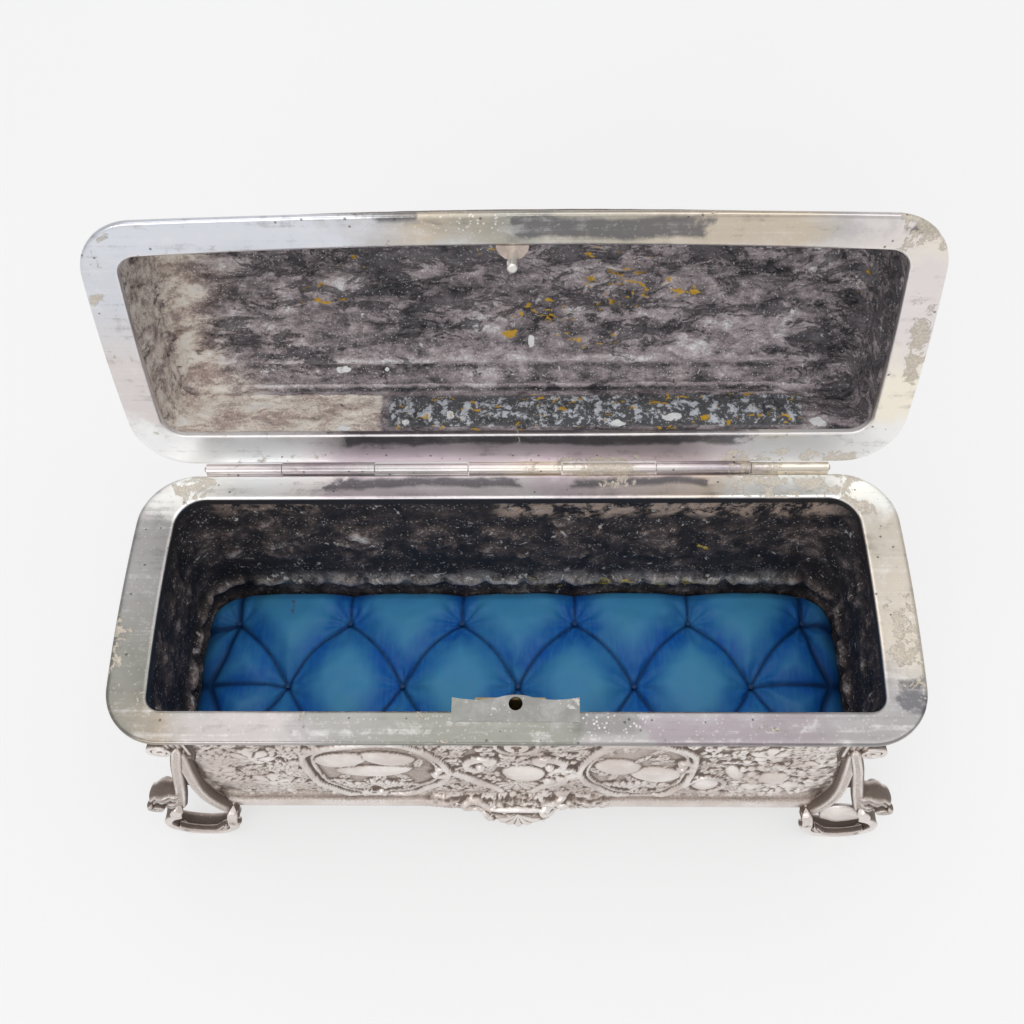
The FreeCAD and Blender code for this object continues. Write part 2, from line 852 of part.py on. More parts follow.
def foot_knee():
    """The leaf that turns outward over the loop."""
    y = front_edge - foot_proud + knee_setback
    root_x = half_base - knee_root_inset
    tip = vec(half_base + knee_tip_reach, y, table + knee_tip_height)
    low = vec(root_x, y, table + knee_low)
    high = vec(root_x, y, table + knee_high)
    bend = root_x + knee_bend_share * (tip.x - root_x)
    upper = vec(bend, y, (tip.z + knee_bend_share * (high.z - tip.z)))
    lower = vec(bend, y, low.z + knee_bend_share * (tip.z - low.z) / 2)
    outline = chain(low, [[lower, tip], [upper, high]])
    return Part.Face(outline).extrude(vec(0, knee_width, 0))


def foot_capital():
    """The block under the rim that holds the foot to the body's front."""
    right = half_base - capital_outside
    front = front_edge + capital_setback
    top = body_top - capital_gap
    return block(
        (right - capital_width, right),
        (front, front + capital_depth),
        (top - capital_height, top),
    )


def foot_strap():
    """The bar that leans from the capital down to the leaf."""
    y = front_edge - strap_proud
    high = body_top - capital_gap - capital_height / 2
    low = table + (knee_low + knee_high) / 2
    head = half_base - strap_head_inset
    foot_x = half_base - strap_foot_inset
    outline = chain(
        vec(head - strap_width / 2, y, high),
        [
            [vec(head + strap_width / 2, y, high)],
            [vec(foot_x + strap_width / 2, y, low)],
            [vec(foot_x - strap_width / 2, y, low)],
        ],
    )
    return Part.Face(outline).extrude(vec(0, strap_thickness, 0))


def make_foot():
    """The front right foot, cut to the body and filed flat on the table."""
    foot = foot_loop().fuse([foot_knee(), foot_strap(), foot_capital()])
    under = block(
        (0, casket_length),
        (front_edge - casket_depth, 0),
        (table - overrun, table),
    )
    foot = foot.cut(body_outside(solder_gap)).cut(under)
    return largest(foot)


def largest(shape):
    """The biggest solid of a shape, without scraps that a cut leaves."""
    return max(shape.Solids, key=lambda solid: solid.Volume)


def make_apron():
    """The ornament under the front: two wings and a boss that hangs below the body."""
    high = body_bottom + apron_top
    wing_low = body_bottom - apron_wing_drop
    low = body_bottom - apron_drop
    inside = front_edge + torus_inset + apron_bite

    def outline(y):
        return chain(
            vec(-apron_half_width, y, high),
            [
                [vec(apron_half_width, y, high)],
                [vec(apron_half_width, y, body_bottom)],
                [vec((apron_half_width + apron_half_middle) / 2, y, wing_low), vec(apron_half_middle, y, wing_low)],
                [vec(-apron_half_middle, y, wing_low)],
                [
                    vec(-(apron_half_width + apron_half_middle) / 2, y, wing_low),
                    vec(-apron_half_width, y, body_bottom),
                ],
            ],
        )

    wing_front = front_edge + torus_inset - apron_wing_proud
    wings = Part.Face(outline(wing_front)).extrude(vec(0, inside - wing_front, 0))
    boss_front = front_edge + torus_inset - apron_boss_proud
    boss_outline = chain(
        vec(-apron_half_middle, boss_front, high),
        [
            [vec(apron_half_middle, boss_front, high)],
            [vec(apron_half_middle, boss_front, wing_low)],
            [vec(0, boss_front, low), vec(-apron_half_middle, boss_front, wing_low)],
        ],
    )
    boss = Part.Face(boss_outline).extrude(vec(0, inside - boss_front, 0))
    return largest(wings.fuse(boss).cut(body_outside(solder_gap)))


def cushion_plan(draw, z):
    radius = max(cushion_radius - draw, least_radius)
    return plan(
        cushion_half - draw, cushion_front + draw, cushion_back - draw, radius, radius, z
    )


def tuft_rows():
    """Places of the tufts: two outer rows, and a middle row half a step aside."""
    span = 2 * (cushion_half - tuft_margin)
    step = span / (tuft_columns - 1)
    front = cushion_front + tuft_front_inset
    back = cushion_back - tuft_back_inset
    outer = [-span / 2 + step * i for i in range(tuft_columns)]
    inner = [x + step / 2 for x in outer[:-1]]
    return [(front, outer), ((front + back) / 2, inner), (back, outer)]


def tuft_floor():
    return cushion_bottom + cushion_height - tuft_depth


def pleat(start, end):
    """A round groove between two places on the cushion's top."""
    z = cushion_bottom + cushion_height - pleat_depth + pleat_round
    return rod(pleat_round, vec(start[0], start[1], z), vec(end[0], end[1], z))


def make_cushion():
    """The stuffed cushion: crowned, drawn in at its sides, tufted and pleated in diamonds."""
    draws = (
        cushion_foot_draw,
        0,
        cushion_shoulder_draw,
        cushion_edge_draw,
        cushion_crown_draw,
        cushion_top_draw,
    )
    form = stack(
        [
            cushion_plan(draw, cushion_bottom + share * cushion_height)
            for share, draw in zip(cushion_profile_shares, draws)
        ]
    )
    rows = tuft_rows()
    tools = []
    for y, places in rows:
        for x in places:
            tools.append(Part.makeSphere(tuft_dish, vec(x, y, tuft_floor() + tuft_dish)))
    middle_row, middle_places = rows[1]
    step = middle_places[1] - middle_places[0]
    for (y, places), outside in ((rows[0], cushion_front), (rows[2], cushion_back)):
        for x in places:
            tools.append(pleat((x, y), (x, outside)))
        for x in middle_places:
            for side in (-1, 1):
                tools.append(pleat((x, middle_row), (x + side * step / 2, y)))
    return largest(form.cut(tools))


def make_tuft_knots():
    """The thread knots that hold the tufts down."""
    low = tuft_floor() + knot_seat
    knots = []
    for y, places in tuft_rows():
        for x in places:
            knot = Part.makeCylinder(knot_radius, knot_height, vec(x, y, low))
            knots.append(knot.makeFillet(knot_height / 3, knot.Edges[0]))
    return Part.makeCompound(knots)


def make_pad_board():
    return prism(low_plan(board_inset, floor_top), board_thickness)


def at_rest(shape):
    """Leans a piece of the shut lid back on its stop."""
    leaned = shape.copy()
    leaned.rotate(vec(0, 0, 0), vec(1, 0, 0), -open_angle)
    return leaned


foot = make_foot()
apron = make_apron()
along = vec(1, 0, 0)
across = vec(0, 1, 0)
base_pieces = {
    "body_shell": make_body_shell(),
    "floor_plate": make_floor_plate(),
    "base_rim": make_base_rim(),
    "base_knuckles": make_knuckles(0, pin_fit, -1),
    "hinge_pin": make_hinge_pin(),
    "foot_front_right": foot,
    "foot_front_left": mirrored(foot, along),
    "foot_back_right": mirrored(foot, across),
    "foot_back_left": mirrored(mirrored(foot, along), across),
    "front_apron": apron,
    "back_apron": mirrored(apron, across),
    "lock_plate": make_lock_plate(),
    "lock_case": make_lock_case(),
    "lock_spring": make_lock_spring(),
    "keyhole_plate": make_keyhole_plate(),
    "pad_board": make_pad_board(),
    "cushion": make_cushion(),
    "tuft_knots": make_tuft_knots(),
    "lock_bolt": make_lock_bolt(),
}
lid_pieces = {
    "lid_shell": make_lid_shell(),
    "lid_rim": make_lid_rim(),
    "lid_knuckles": make_knuckles(1, pin_running_fit, 1),
    "stud_lug": make_stud_lug(),
    "lid_stud": make_lid_stud(),
}
pieces = dict(base_pieces)
for name, shape in lid_pieces.items():
    pieces[name] = at_rest(shape)

# The origin is under the middle of the open casket, on the table
box = Part.makeCompound(list(pieces.values())).optimalBoundingBox(True, False)
shift = vec(-(box.XMin + box.XMax) / 2, -(box.YMin + box.YMax) / 2, seam_height)
os.makedirs("parts", exist_ok=True)
for name, shape in pieces.items():
    placed = shape.copy()
    placed.translate(shift)
    placed.exportStep("parts/" + name + ".step")
    print(name, len(placed.Solids), "solids", round(placed.Volume, 1), "mm3", placed.isValid())
print("box", box.XLength, box.YLength, box.ZLength)
print("hinge line at", tuple(round(value, 3) for value in shift))
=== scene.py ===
# %% [markdown]
# # A silver-plated jewel casket
# The casket is a cast metal box with relief outside, two polished rims that meet at a seam, a
# hinge along the back, four scroll feet and a tufted satin cushion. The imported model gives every
# size and place. This lesson dresses it: first the frame and the camera, then one cell for each
# piece and finish. Drawing is done in millimetres from the hinge line, with the lid shut, because
# that is how such a casket is measured, and one function turns those places into metres.

import math

import bmesh
import bpy
import numpy as np
from mathutils import Matrix, Vector


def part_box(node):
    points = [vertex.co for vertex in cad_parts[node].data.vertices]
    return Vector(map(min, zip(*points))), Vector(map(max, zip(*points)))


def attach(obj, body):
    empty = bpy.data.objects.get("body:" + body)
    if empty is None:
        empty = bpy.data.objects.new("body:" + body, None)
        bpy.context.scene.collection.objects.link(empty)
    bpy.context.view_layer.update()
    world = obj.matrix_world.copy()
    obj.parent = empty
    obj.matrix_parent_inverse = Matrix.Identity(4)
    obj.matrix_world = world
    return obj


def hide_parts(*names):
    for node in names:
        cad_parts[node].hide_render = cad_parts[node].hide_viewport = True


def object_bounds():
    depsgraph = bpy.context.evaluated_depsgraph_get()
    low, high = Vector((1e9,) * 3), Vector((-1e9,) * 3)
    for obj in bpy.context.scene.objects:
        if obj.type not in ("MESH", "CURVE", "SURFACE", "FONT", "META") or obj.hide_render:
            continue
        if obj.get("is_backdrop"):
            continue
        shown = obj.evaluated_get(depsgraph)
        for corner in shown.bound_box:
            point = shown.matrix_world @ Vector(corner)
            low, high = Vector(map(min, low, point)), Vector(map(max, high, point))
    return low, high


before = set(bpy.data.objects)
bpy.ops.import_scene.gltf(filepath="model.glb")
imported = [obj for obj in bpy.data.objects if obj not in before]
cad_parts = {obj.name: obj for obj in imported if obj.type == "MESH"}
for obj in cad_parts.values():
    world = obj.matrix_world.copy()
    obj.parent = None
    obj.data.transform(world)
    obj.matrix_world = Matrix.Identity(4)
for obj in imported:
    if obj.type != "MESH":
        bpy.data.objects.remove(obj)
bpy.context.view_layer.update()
scene = bpy.context.scene
scene.view_settings.view_transform = "Standard"

MM = 0.001
pin_low, pin_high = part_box("hinge_pin")
HINGE = np.array([0.0, (pin_low.y + pin_high.y) * 500, (pin_low.z + pin_high.z) * 500])
LID_TURN = math.radians(-107.8)
TABLE = -HINGE[2]


def in_frame(points, on_lid=False):
    """Turns places in millimetres from the hinge line into metres in the row's frame."""
    p = np.array(points, float).reshape(-1, 3)
    if on_lid:
        y, z = p[:, 1].copy(), p[:, 2].copy()
        p[:, 1] = y * math.cos(LID_TURN) - z * math.sin(LID_TURN)
        p[:, 2] = y * math.sin(LID_TURN) + z * math.cos(LID_TURN)
    return (p + HINGE) * MM


# %% [markdown]
# ## Camera
# The photograph looks down into the open casket at about sixty degrees. The camera's place and
# lens were fitted to the rims' outlines, so the same edges fall on the same pixels.

# %% Camera
pitch, yaw, roll = (math.radians(v) for v in (61.537, -3.417, -3.17))
forward = Vector(
    (math.sin(yaw) * math.cos(pitch), math.cos(yaw) * math.cos(pitch), -math.sin(pitch))
)
level_right = Vector((math.cos(yaw), -math.sin(yaw), 0))
level_up = level_right.cross(forward)
right = level_right * math.cos(roll) + level_up * math.sin(roll)
up = level_up * math.cos(roll) - level_right * math.sin(roll)
camera = bpy.data.objects.new("camera", bpy.data.cameras.new("camera"))
camera.data.sensor_width = 36
camera.data.lens = 41.22
camera.data.clip_start = 0.01
camera.rotation_mode = "QUATERNION"
camera.matrix_world = Matrix((right, up, -forward)).transposed().to_4x4()
camera.location = Vector(in_frame([(8.913, -177.216, 300.253)])[0])
scene.collection.objects.link(camera)
scene.camera = camera
print("camera at", [round(v, 4) for v in camera.location])

# %% [markdown]
# ## Outlines
# Every rim, wall and cushion follows the same kind of outline: straight long sides, gently bowed
# ends and round corners. If all outlines have the same number of points on each stretch, any two
# of them match point to point, and a wall is just a skin through rows of outlines.

# %% Outlines, outward directions and skins
END_BOW_RADIUS = 563.8


def outline(half, front, back, radii, counts, front_bow=0.0):
    """Points round the casket, from the front left corner along the front and over the right end."""
    middle = (front + back) / 2
    bow_x = half - END_BOW_RADIUS
    corners = []
    for edge, radius, inward in ((front, radii[0], 1), (back, radii[1], -1)):
        y = edge + inward * radius
        x = bow_x + math.sqrt((END_BOW_RADIUS - radius) ** 2 - (y - middle) ** 2)
        turn = -inward * math.pi / 2
        if front_bow and edge == front:
            big = (half**2 + front_bow**2) / (2 * front_bow)
            y = front + big - math.sqrt((big - radius) ** 2 - x**2)
            x = bow_x + math.sqrt((END_BOW_RADIUS - radius) ** 2 - (y - middle) ** 2)
            turn = math.atan2(y - front - big, x)
        corners.append((x, y, radius, turn, math.atan2(y - middle, x - bow_x)))
    (fx, fy, fr, f_turn, f_lean), (bx, by, br, b_turn, b_lean) = corners

    def arc(x, y, radius, start, stop, count):
        a = np.linspace(start, stop, count, endpoint=False)
        return np.column_stack([x + radius * np.cos(a), y + radius * np.sin(a)])

    def side(x, y_end, y_middle, count):
        t = np.linspace(-1, 1, count, endpoint=False)
        return np.column_stack([x * t, y_middle + (y_end - y_middle) * t * t])

    long, corner, end, back_count = counts
    pi = math.pi
    front_x, front_y = fx + fr * math.cos(f_turn), fy + fr * math.sin(f_turn)
    return np.vstack(
        [
            side(front_x, front_y, front, long),
            arc(fx, fy, fr, f_turn, f_lean, corner),
            arc(bow_x, middle, END_BOW_RADIUS, f_lean, b_lean, end),
            arc(bx, by, br, b_lean, b_turn, corner),
            side(-bx, back, back, back_count),
            arc(-bx, by, br, pi - b_turn, pi - b_lean, corner),
            arc(-bow_x, middle, END_BOW_RADIUS, pi - b_lean, pi - f_lean, end),
            arc(-fx, fy, fr, pi - f_lean, pi - f_turn, corner),
        ]
    )


def outward(points):
    """Unit directions square to a closed outline, pointing out."""
    along = np.roll(points, -1, 0) - np.roll(points, 1, 0)
    along /= np.linalg.norm(along, axis=1)[:, None]
    return np.column_stack([along[:, 1], -along[:, 0]])


def rise(value, start, width):
    """0 up to a start and 1 a width later, straight between; with a negative width it falls."""
    return np.clip((value - start) / width, 0, 1)


def hill(distance, width):
    """1 at no distance, and nearly 0 at twice the width."""
    return np.exp(-((distance / width) ** 2))


def places_along(line):
    """How far along a closed line each of its points lies, and the whole way round."""
    steps = np.linalg.norm(np.roll(line, -1, 0) - line, axis=1)
    return np.concatenate([[0], np.cumsum(steps)[:-1]]), float(steps.sum())


def at_level(points, z):
    """Puts a flat outline at one height, or each of its points at a height of its own."""
    return np.column_stack([points, np.broadcast_to(z, len(points))])


def skin(name, patches, body, finish, replaces, on_lid=False, marks=None):
    """A piece from patches of rows of points; marks are values that its finish reads."""
    places, faces, start = [], [], 0
    for rows, closed, flip in patches:
        grid = np.array(rows)
        r, n = grid.shape[:2]
        i = np.arange(r - 1)[:, None] * n + start
        j = np.arange(n if closed else n - 1)[None]
        k = (j + 1) % n
        quads = np.stack([i + j, i + k, i + n + k, i + n + j], -1).reshape(-1, 4)
        faces.append(quads[:, ::-1] if flip else quads)
        places.append(grid.reshape(-1, 3))
        start += r * n
    mesh = bpy.data.meshes.new(name)
    mesh.from_pydata(in_frame(np.vstack(places), on_lid).tolist(), [], np.vstack(faces).tolist())
    for mark, values in (marks or {}).items():
        values = np.concatenate([np.ravel(v) for v in values]).astype(np.float32)
        mesh.attributes.new(mark, "FLOAT", "POINT").data.foreach_set("value", values)
    piece = bpy.data.objects.new(name, mesh)
    scene.collection.objects.link(piece)
    mesh.polygons.foreach_set("use_smooth", [True] * len(mesh.polygons))
    mesh.materials.append(finish)
    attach(piece, body)
    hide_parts(*replaces)
    print(name, len(mesh.polygons), "faces")
    return piece


print(
    "drawing kit ready, one outline has", len(outline(111, -84, -2, (16, 16), (60, 12, 24, 60))),
    "points"
)

# %% [markdown]
# ## Finishes
# A finish is a small recipe of shader nodes. Written as plain arithmetic it reads like the recipe
# itself, so one class wraps a socket and adds a Math node for each operation. Everything else,
# such as noise, ramps and colour mixes, goes through one method that adds any node.

# %% A socket that does arithmetic
class Wire:
    """One output socket of a finish; arithmetic on it adds Math nodes."""

    def __init__(self, finish, socket):
        self.finish, self.socket = finish, socket

    def math(self, operation, first, second):
        return self.finish.node("ShaderNodeMath", {"operation": operation}, {0: first, 1: second})

    def __add__(self, other):
        return self.math("ADD", self, other)

    __radd__ = __add__

    def __sub__(self, other):
        return self.math("SUBTRACT", self, other)

    def __rsub__(self, other):
        return self.math("SUBTRACT", other, self)

    def __mul__(self, other):
        return self.math("MULTIPLY", self, other)

    __rmul__ = __mul__


class Nodes:
    """A tree of shader nodes."""

    def __init__(self, tree):
        self.tree = tree

    def node(self, kind, settings, sockets, out=0):
        """Adds a node: its settings first, then values or wires for its sockets."""
        made = self.tree.nodes.new(kind)
        for key, value in settings.items():
            if key == "stops":
                ramp = made.color_ramp
                while len(ramp.elements) < len(value):
                    ramp.elements.new(0.5)
                for element, (place, colour) in zip(ramp.elements, value):
                    element.position = place
                    element.color = (*colour, 1) if len(colour) == 3 else colour
            else:
                setattr(made, key, value)
        for key, value in sockets.items():
            self.join(made.inputs[key], value)
        return Wire(self, made.outputs[out])

    def join(self, socket, value):
        if isinstance(value, Wire):
            self.tree.links.new(value.socket, socket)
        elif isinstance(value, tuple) and len(value) == 3 and socket.type == "RGBA":
            socket.default_value = (*value, 1)
        else:
            socket.default_value = value


class Finish(Nodes):
    """A material on one principled shader, built by adding nodes."""

    def __init__(self, name, metallic, roughness):
        self.material = bpy.data.materials.new(name)
        self.material.use_nodes = True
        super().__init__(self.material.node_tree)
        self.shader = self.tree.nodes["Principled BSDF"]
        self.set("Metallic", metallic)
        self.set("Roughness", roughness)

    def set(self, name, value):
        self.join(self.shader.inputs[name], value)

    def place(self, stretch=(1, 1, 1)):
        """The piece's own coordinates in metres, stretched along its axes."""
        own = self.node("ShaderNodeTexCoord", {}, {}, "Object")
        if stretch == (1, 1, 1):
            return own
        return self.node("ShaderNodeMapping", {}, {"Vector": own, "Scale": stretch})

    def noise(self, scale, detail=4.0, rough=0.55, warp=0.0, stretch=(1, 1, 1)):
        sockets = {"Vector": self.place(stretch), "Scale": scale, "Detail": detail, "Roughness": rough}
        return self.node("ShaderNodeTexNoise", {}, {**sockets, "Distortion": warp})

    def grain(self, scale, out="Distance"):
        return self.node("ShaderNodeTexVoronoi", {}, {"Vector": self.place(), "Scale": scale}, out)

    def dots(self, scale, outer, inner, lowest, highest):
        """Round dots in some of the cells of a grain."""
        dots = self.band(self.grain(scale), outer, inner)
        return dots * self.band(self.grain(scale, "Color"), lowest, highest)

    def band(self, value, low, high):
        """0 below low and 1 above high, with a soft step between."""
        sockets = {"Value": value, "From Min": low, "From Max": high}
        return self.node("ShaderNodeMapRange", {"interpolation_type": "SMOOTHSTEP"}, sockets)

    def axis(self, letter):
        """One of the piece's own coordinates, in metres."""
        return self.node("ShaderNodeSeparateXYZ", {}, {"Vector": self.place()}, letter)

    def mark(self, name):
        return self.node("ShaderNodeAttribute", {"attribute_name": name}, {}, "Fac")

    def tones(self, value, low, high, stops):
        """Colours along a value, each stop being a place and a colour."""
        share = self.node("ShaderNodeMapRange", {}, {"Value": value, "From Min": low, "From Max": high})
        places = [((place - low) / (high - low), colour) for place, colour in stops]
        return self.node("ShaderNodeValToRGB", {"stops": places}, {"Fac": share}, "Color")

    def looks(self, value, gain, stops):
        """Colours along a value from 0 to 1, written as they look in a dim place."""
        return self.tones(value, 0.0, 1.0, [(place, seen(*colour, gain)) for place, colour in stops])

    def field(self, x, y, box, soft=0.003):
        """1 inside a box of two coordinates in millimetres, with soft sides."""
        x0, x1, y0, y1 = (v * MM for v in box)
        sides = self.band(x, x0 - soft, x0 + soft) * self.band(x, x1 + soft, x1 - soft)
        return (
            sides * self.band(y, y0 - soft / 2, y0 + soft / 2)
            * self.band(y, y1 + soft / 2, y1 - soft / 2)
        )

    def mix(self, share, first, second):
        """Mixes two colours."""
        return self.node("ShaderNodeMix", {"data_type": "RGBA"}, {0: share, 6: first, 7: second}, 2)

    def coat(self, share, tone):
        """Lays a tone over the colour so far."""
        self.colour = self.mix(share, self.colour, tone)

    def bumps(self, height, distance, strength=1.0):
        sockets = {"Strength": strength, "Distance": distance, "Height": height}
        self.set("Normal", self.node("ShaderNodeBump", {}, sockets, "Normal"))


def seen(red, green, blue, gain=1.0):
    """A colour written as it looks, from 0 to 255, as the share of light that it gives back."""
    return tuple(min(0.95, gain * ((c / 255 + 0.055) / 1.055) ** 2.4) for c in (red, green, blue))


print("finish kit ready, middle grey is", [round(c, 3) for c in seen(128, 128, 128)])

# %% [markdown]
# ## Silver plate on the rims
# The rims were ground flat, plated and polished. Age has left them with soft grey clouds, fine
# scratches, and ragged patches where the plate has gone cream and dull. Clouds come from slow
# noise, ragged patches from fast noise cut at a level, and the patches gather where the photo has
# them: at the right of both rims and along the hinge.

# %% Rim plate
# Tones of the rims: most are painted reflections of the surroundings in the polished plate, some are tarnish;
# smoke is a painted dark reflection.
TARNISH_AND_REFLECTION_TONES = {
    "pale": seen(208, 201, 199, 1.0),
    "blue": seen(198, 200, 206, 1.05),
    "grey": seen(168, 165, 164, 1.2),
    "olive": seen(148, 147, 139, 1.15),
    "beige": seen(176, 165, 150, 1.2),
    "cream": seen(217, 208, 194, 1.08),
    "mauve": seen(158, 149, 153, 1.2),
    "smoke": seen(98, 97, 101, 1.1),
}


def rim_plate(name, on_lid, sides, gains, worn, dark, speckled):
    """Painted reflections and tarnish along the front, back, left and right of a rim, by names of the rim
    tones, with a gain for each, and boxes of worn plate, of painted dark reflections and of speckled plate."""
    f = Finish(name, 1.0, 0.24)
    x = f.axis("X")
    if on_lid:
        depth = (f.axis("Z") - HINGE[2] * MM) * (1 / math.sin(LID_TURN))
    else:
        depth = f.axis("Y") - HINGE[1] * MM
    wander = f.noise(55.0, 7.0, 0.62, 0.3) - 0.5
    along, across = x + wander * 0.045, depth + wander * 0.03

    def toned(value, low, high, k):
        """The tones along one side of the rim: painted reflections with some tarnish."""
        stops = [
            (place * MM, tuple(min(0.95, c * gains[k]) for c in TARNISH_AND_REFLECTION_TONES[tone])) for place, tone in sides[k]
        ]
        return f.tones(value, low, high, stops)

    # Painted reflections and tarnish: the listed tones along each side, each side scaled by a gain for how
    # much light falls there.
    ends = f.mix(f.band(x, -0.02, 0.02), toned(across, -0.088, 0, 2), toned(across, -0.088, 0, 3))
    f.colour = f.mix(f.band(across, -0.066, -0.079), ends, toned(along, -0.115, 0.115, 0))
    f.coat(f.band(across, -0.019, -0.011), toned(along, -0.115, 0.115, 1))
    streaks = f.noise(500.0, 3.0, 0.6, 0.0, (0.035, 1, 1))
    fine = f.noise(1600.0, 5.0, 0.7)
    mottle = f.noise(130.0, 8.0, 0.7, 0.4)
    # Painted dark reflections: smoke-grey strips in the listed boxes.
    for box in dark:
        strip = f.field(along, depth + wander * 0.006, box, 0.0016)
        f.coat(strip * 0.85, TARNISH_AND_REFLECTION_TONES["smoke"])
    shade = (streaks - 0.5) * 0.5 + (mottle - 0.5) * 0.7
    f.coat(f.band(shade, 0.02, 0.20) * 0.35, (0.92, 0.90, 0.89))
    f.coat(f.band(shade, -0.03, -0.18) * 0.38, (0.17, 0.165, 0.155))
    gathered = f.field(x, depth, worn[0])
    for box in worn[1:]:
        gathered = gathered + f.field(x, depth, box)
    ragged = f.noise(150.0, 9.0, 0.70, 0.5)
    lost = f.band(ragged + gathered * 0.15, 0.655, 0.668)
    rim_of_loss = f.band(ragged + gathered * 0.15, 0.640, 0.655) - lost
    cream = f.mix(f.band(fine, 0.35, 0.7), TARNISH_AND_REFLECTION_TONES["beige"], TARNISH_AND_REFLECTION_TONES["cream"])
    f.coat(lost * 0.85, cream)
    f.coat(rim_of_loss * 0.45, (0.20, 0.19, 0.17))
    dust = f.field(x, depth, speckled) if speckled else 0.0 * x
    picked = f.band(f.grain(950.0, "Color"), 0.60, 0.62)
    specks = f.band(f.grain(950.0), 0.34, 0.26) * (picked * 0.18 + dust * f.band(ragged, 0.44, 0.56))
    f.coat(specks * 0.8, (0.88, 0.82, 0.79))
    pits = f.dots(330.0, 0.13, 0.10, 0.63, 0.65)
    f.coat(pits * 0.7, (0.10, 0.095, 0.09))
    # Painted highlight: a near-white line along each rim's inner edge, where the edge mark is high.
    f.coat(f.band(f.mark("edge") + (mottle - 0.5) * 1.0, 0.4, 1.0) * 0.7, (0.90, 0.86, 0.85))
    lip = f.band(f.mark("lip"), 0.2, 0.8)
    f.coat(lip, (0.035, 0.030, 0.028))
    f.set("Base Color", f.colour)
    dull = f.band(depth, -0.020, -0.012) * (
        f.band(x * x, 0.0018, 0.0042) * 0.45 + 0.1 if on_lid else 0.15
    )
    f.set("Metallic", 1.0 - dull - lost * 0.5 - specks * 0.3 - lip * 0.7)
    f.set("Roughness", 0.22 + lost * 0.26 + mottle * 0.10 + dust * 0.2 + lip * 0.3 + fine * 0.05)
    relief = mottle * 0.5 + fine * 0.25 + streaks * 0.2 - lost * 0.35 - pits * 0.9 + dust * fine * 1.5
    f.bumps(relief, 0.00009, 0.8)
    return f.material


BASE_SIDES = (
    [
        (-112, "olive"), (-96, "beige"), (-86, "pale"), (-66, "pale"), (-57, "grey"), (-24, "olive"),
        (12, "olive"), (17, "grey"), (32, "grey"), (37, "mauve"), (64, "mauve"), (72, "mauve"),
        (97, "grey"), (107, "grey"),
    ],
    [
        (-110, "grey"), (-97, "cream"), (-88, "cream"), (-78, "blue"), (-56, "pale"), (-48, "mauve"),
        (5, "grey"), (15, "mauve"), (60, "beige"), (70, "cream"), (105, "cream"),
    ],
    [(-84, "olive"), (-60, "olive"), (-40, "grey"), (-18, "grey"), (-6, "pale")],
    [(-84, "blue"), (-70, "grey"), (-58, "cream"), (-20, "cream"), (-8, "cream")],
)
BASE_WORN = [(13, 40, -7, -1), (62, 104, -16, -1), (103, 112, -74, -40), (-101, -88, -12, -2)]
BASE_WORN += [(-112, -108, -72, -40)]
BASE_DARK_REFLECTIONS = [(-52, 2, -6.5, -3), (20, 60, -6.0, -3.5), (104, 110, -76, -66)]
LID_SIDES = (
    [
        (-112, "blue"), (-48, "blue"), (-36, "grey"), (-22, "beige"), (0, "olive"), (46, "beige"),
        (72, "beige"), (84, "grey"), (92, "pale"), (112, "cream"),
    ],
    [
        (-104, "pale"), (-94, "blue"), (-70, "blue"), (-52, "mauve"), (60, "mauve"), (68, "cream"),
        (105, "cream"),
    ],
    [(-84, "blue"), (-60, "blue"), (-40, "pale"), (-12, "pale")],
    [(-84, "cream"), (-66, "pale"), (-45, "pale"), (-30, "cream"), (-5, "cream")],
)
LID_WORN = [(13, 40, -4.5, -1), (62, 104, -7, -1), (96, 112, -84, -72), (106, 112, -60, -30)]
LID_WORN += [(-112, -108, -62, -58)]
LID_DARK_REFLECTIONS = [(2, 48, -83.0, -77.2), (-56, 64, -13.5, -9.0), (97, 108, -83, -78), (-40, -24, -84.5, -83.0)]

base_plate = rim_plate(
    "base rim plate", False, BASE_SIDES, (0.72, 1.55, 0.80, 0.85), BASE_WORN, BASE_DARK_REFLECTIONS, (16, 34, -81.6, -75.0)
)
lid_plate = rim_plate(
    "lid rim plate", True, LID_SIDES, (1.25, 2.2, 1.15, 1.30), LID_WORN, LID_DARK_REFLECTIONS, (-23, -1, -84.3, -79.0)
)
print("two rim plates")

# %% [markdown]
# ## The rims
# Each rim is a flat band with softened outer edges. The base rim's inner edge turns down into the box, and a
# painted highlight draws a bright line along the inner edge of both rims. Rows of matching outlines run round
# the section, and slow hills a few hundredths of a millimetre high keep the flat from looking machined.

# %% Rim rows
RIM_COUNTS = (220, 22, 84, 220)
FRONT, BACK, LID_BACK, HALF_BASE, HALF_LID = -84.2, -2.0, -13.0, 111.5, 112.35
SEAM, RIM_RADIUS = 0.075, 16.4  # half the gap between the shut rims, and their outer corners


def lumps(u, v, size, seed):
    """Smooth random hills of one size in millimetres, from -1 to 1."""
    table = np.random.default_rng(seed).uniform(-1, 1, (64, 64))
    x, y = np.asarray(u, float) / size, np.asarray(v, float) / size
    i, j = np.floor(x).astype(int), np.floor(y).astype(int)
    a, b = x - i, y - j
    a, b = a * a * (3 - 2 * a), b * b * (3 - 2 * b)

    def pick(p, q):
        return table[p % 64, q % 64]

    low = pick(i, j) * (1 - a) + pick(i + 1, j) * a
    high = pick(i, j + 1) * (1 - a) + pick(i + 1, j + 1) * a
    return low * (1 - b) + high * b


def rim_edge(half, inset, bow):
    radius = RIM_RADIUS - inset
    return outline(half - inset, FRONT + inset, BACK - inset, (radius, radius), RIM_COUNTS, bow)


def base_opening(grow):
    radii = (4.5 + grow, 8.5 + grow)
    return outline(100.2 + grow, -75.1 - grow, -10.1 + grow, radii, RIM_COUNTS)


def lid_opening(grow, counts=RIM_COUNTS):
    radius = max(6.0 + grow, 3.0)
    return outline(102.4 + grow, -75.3 - grow, LID_BACK + grow, (radius, radius), counts, 2.8)


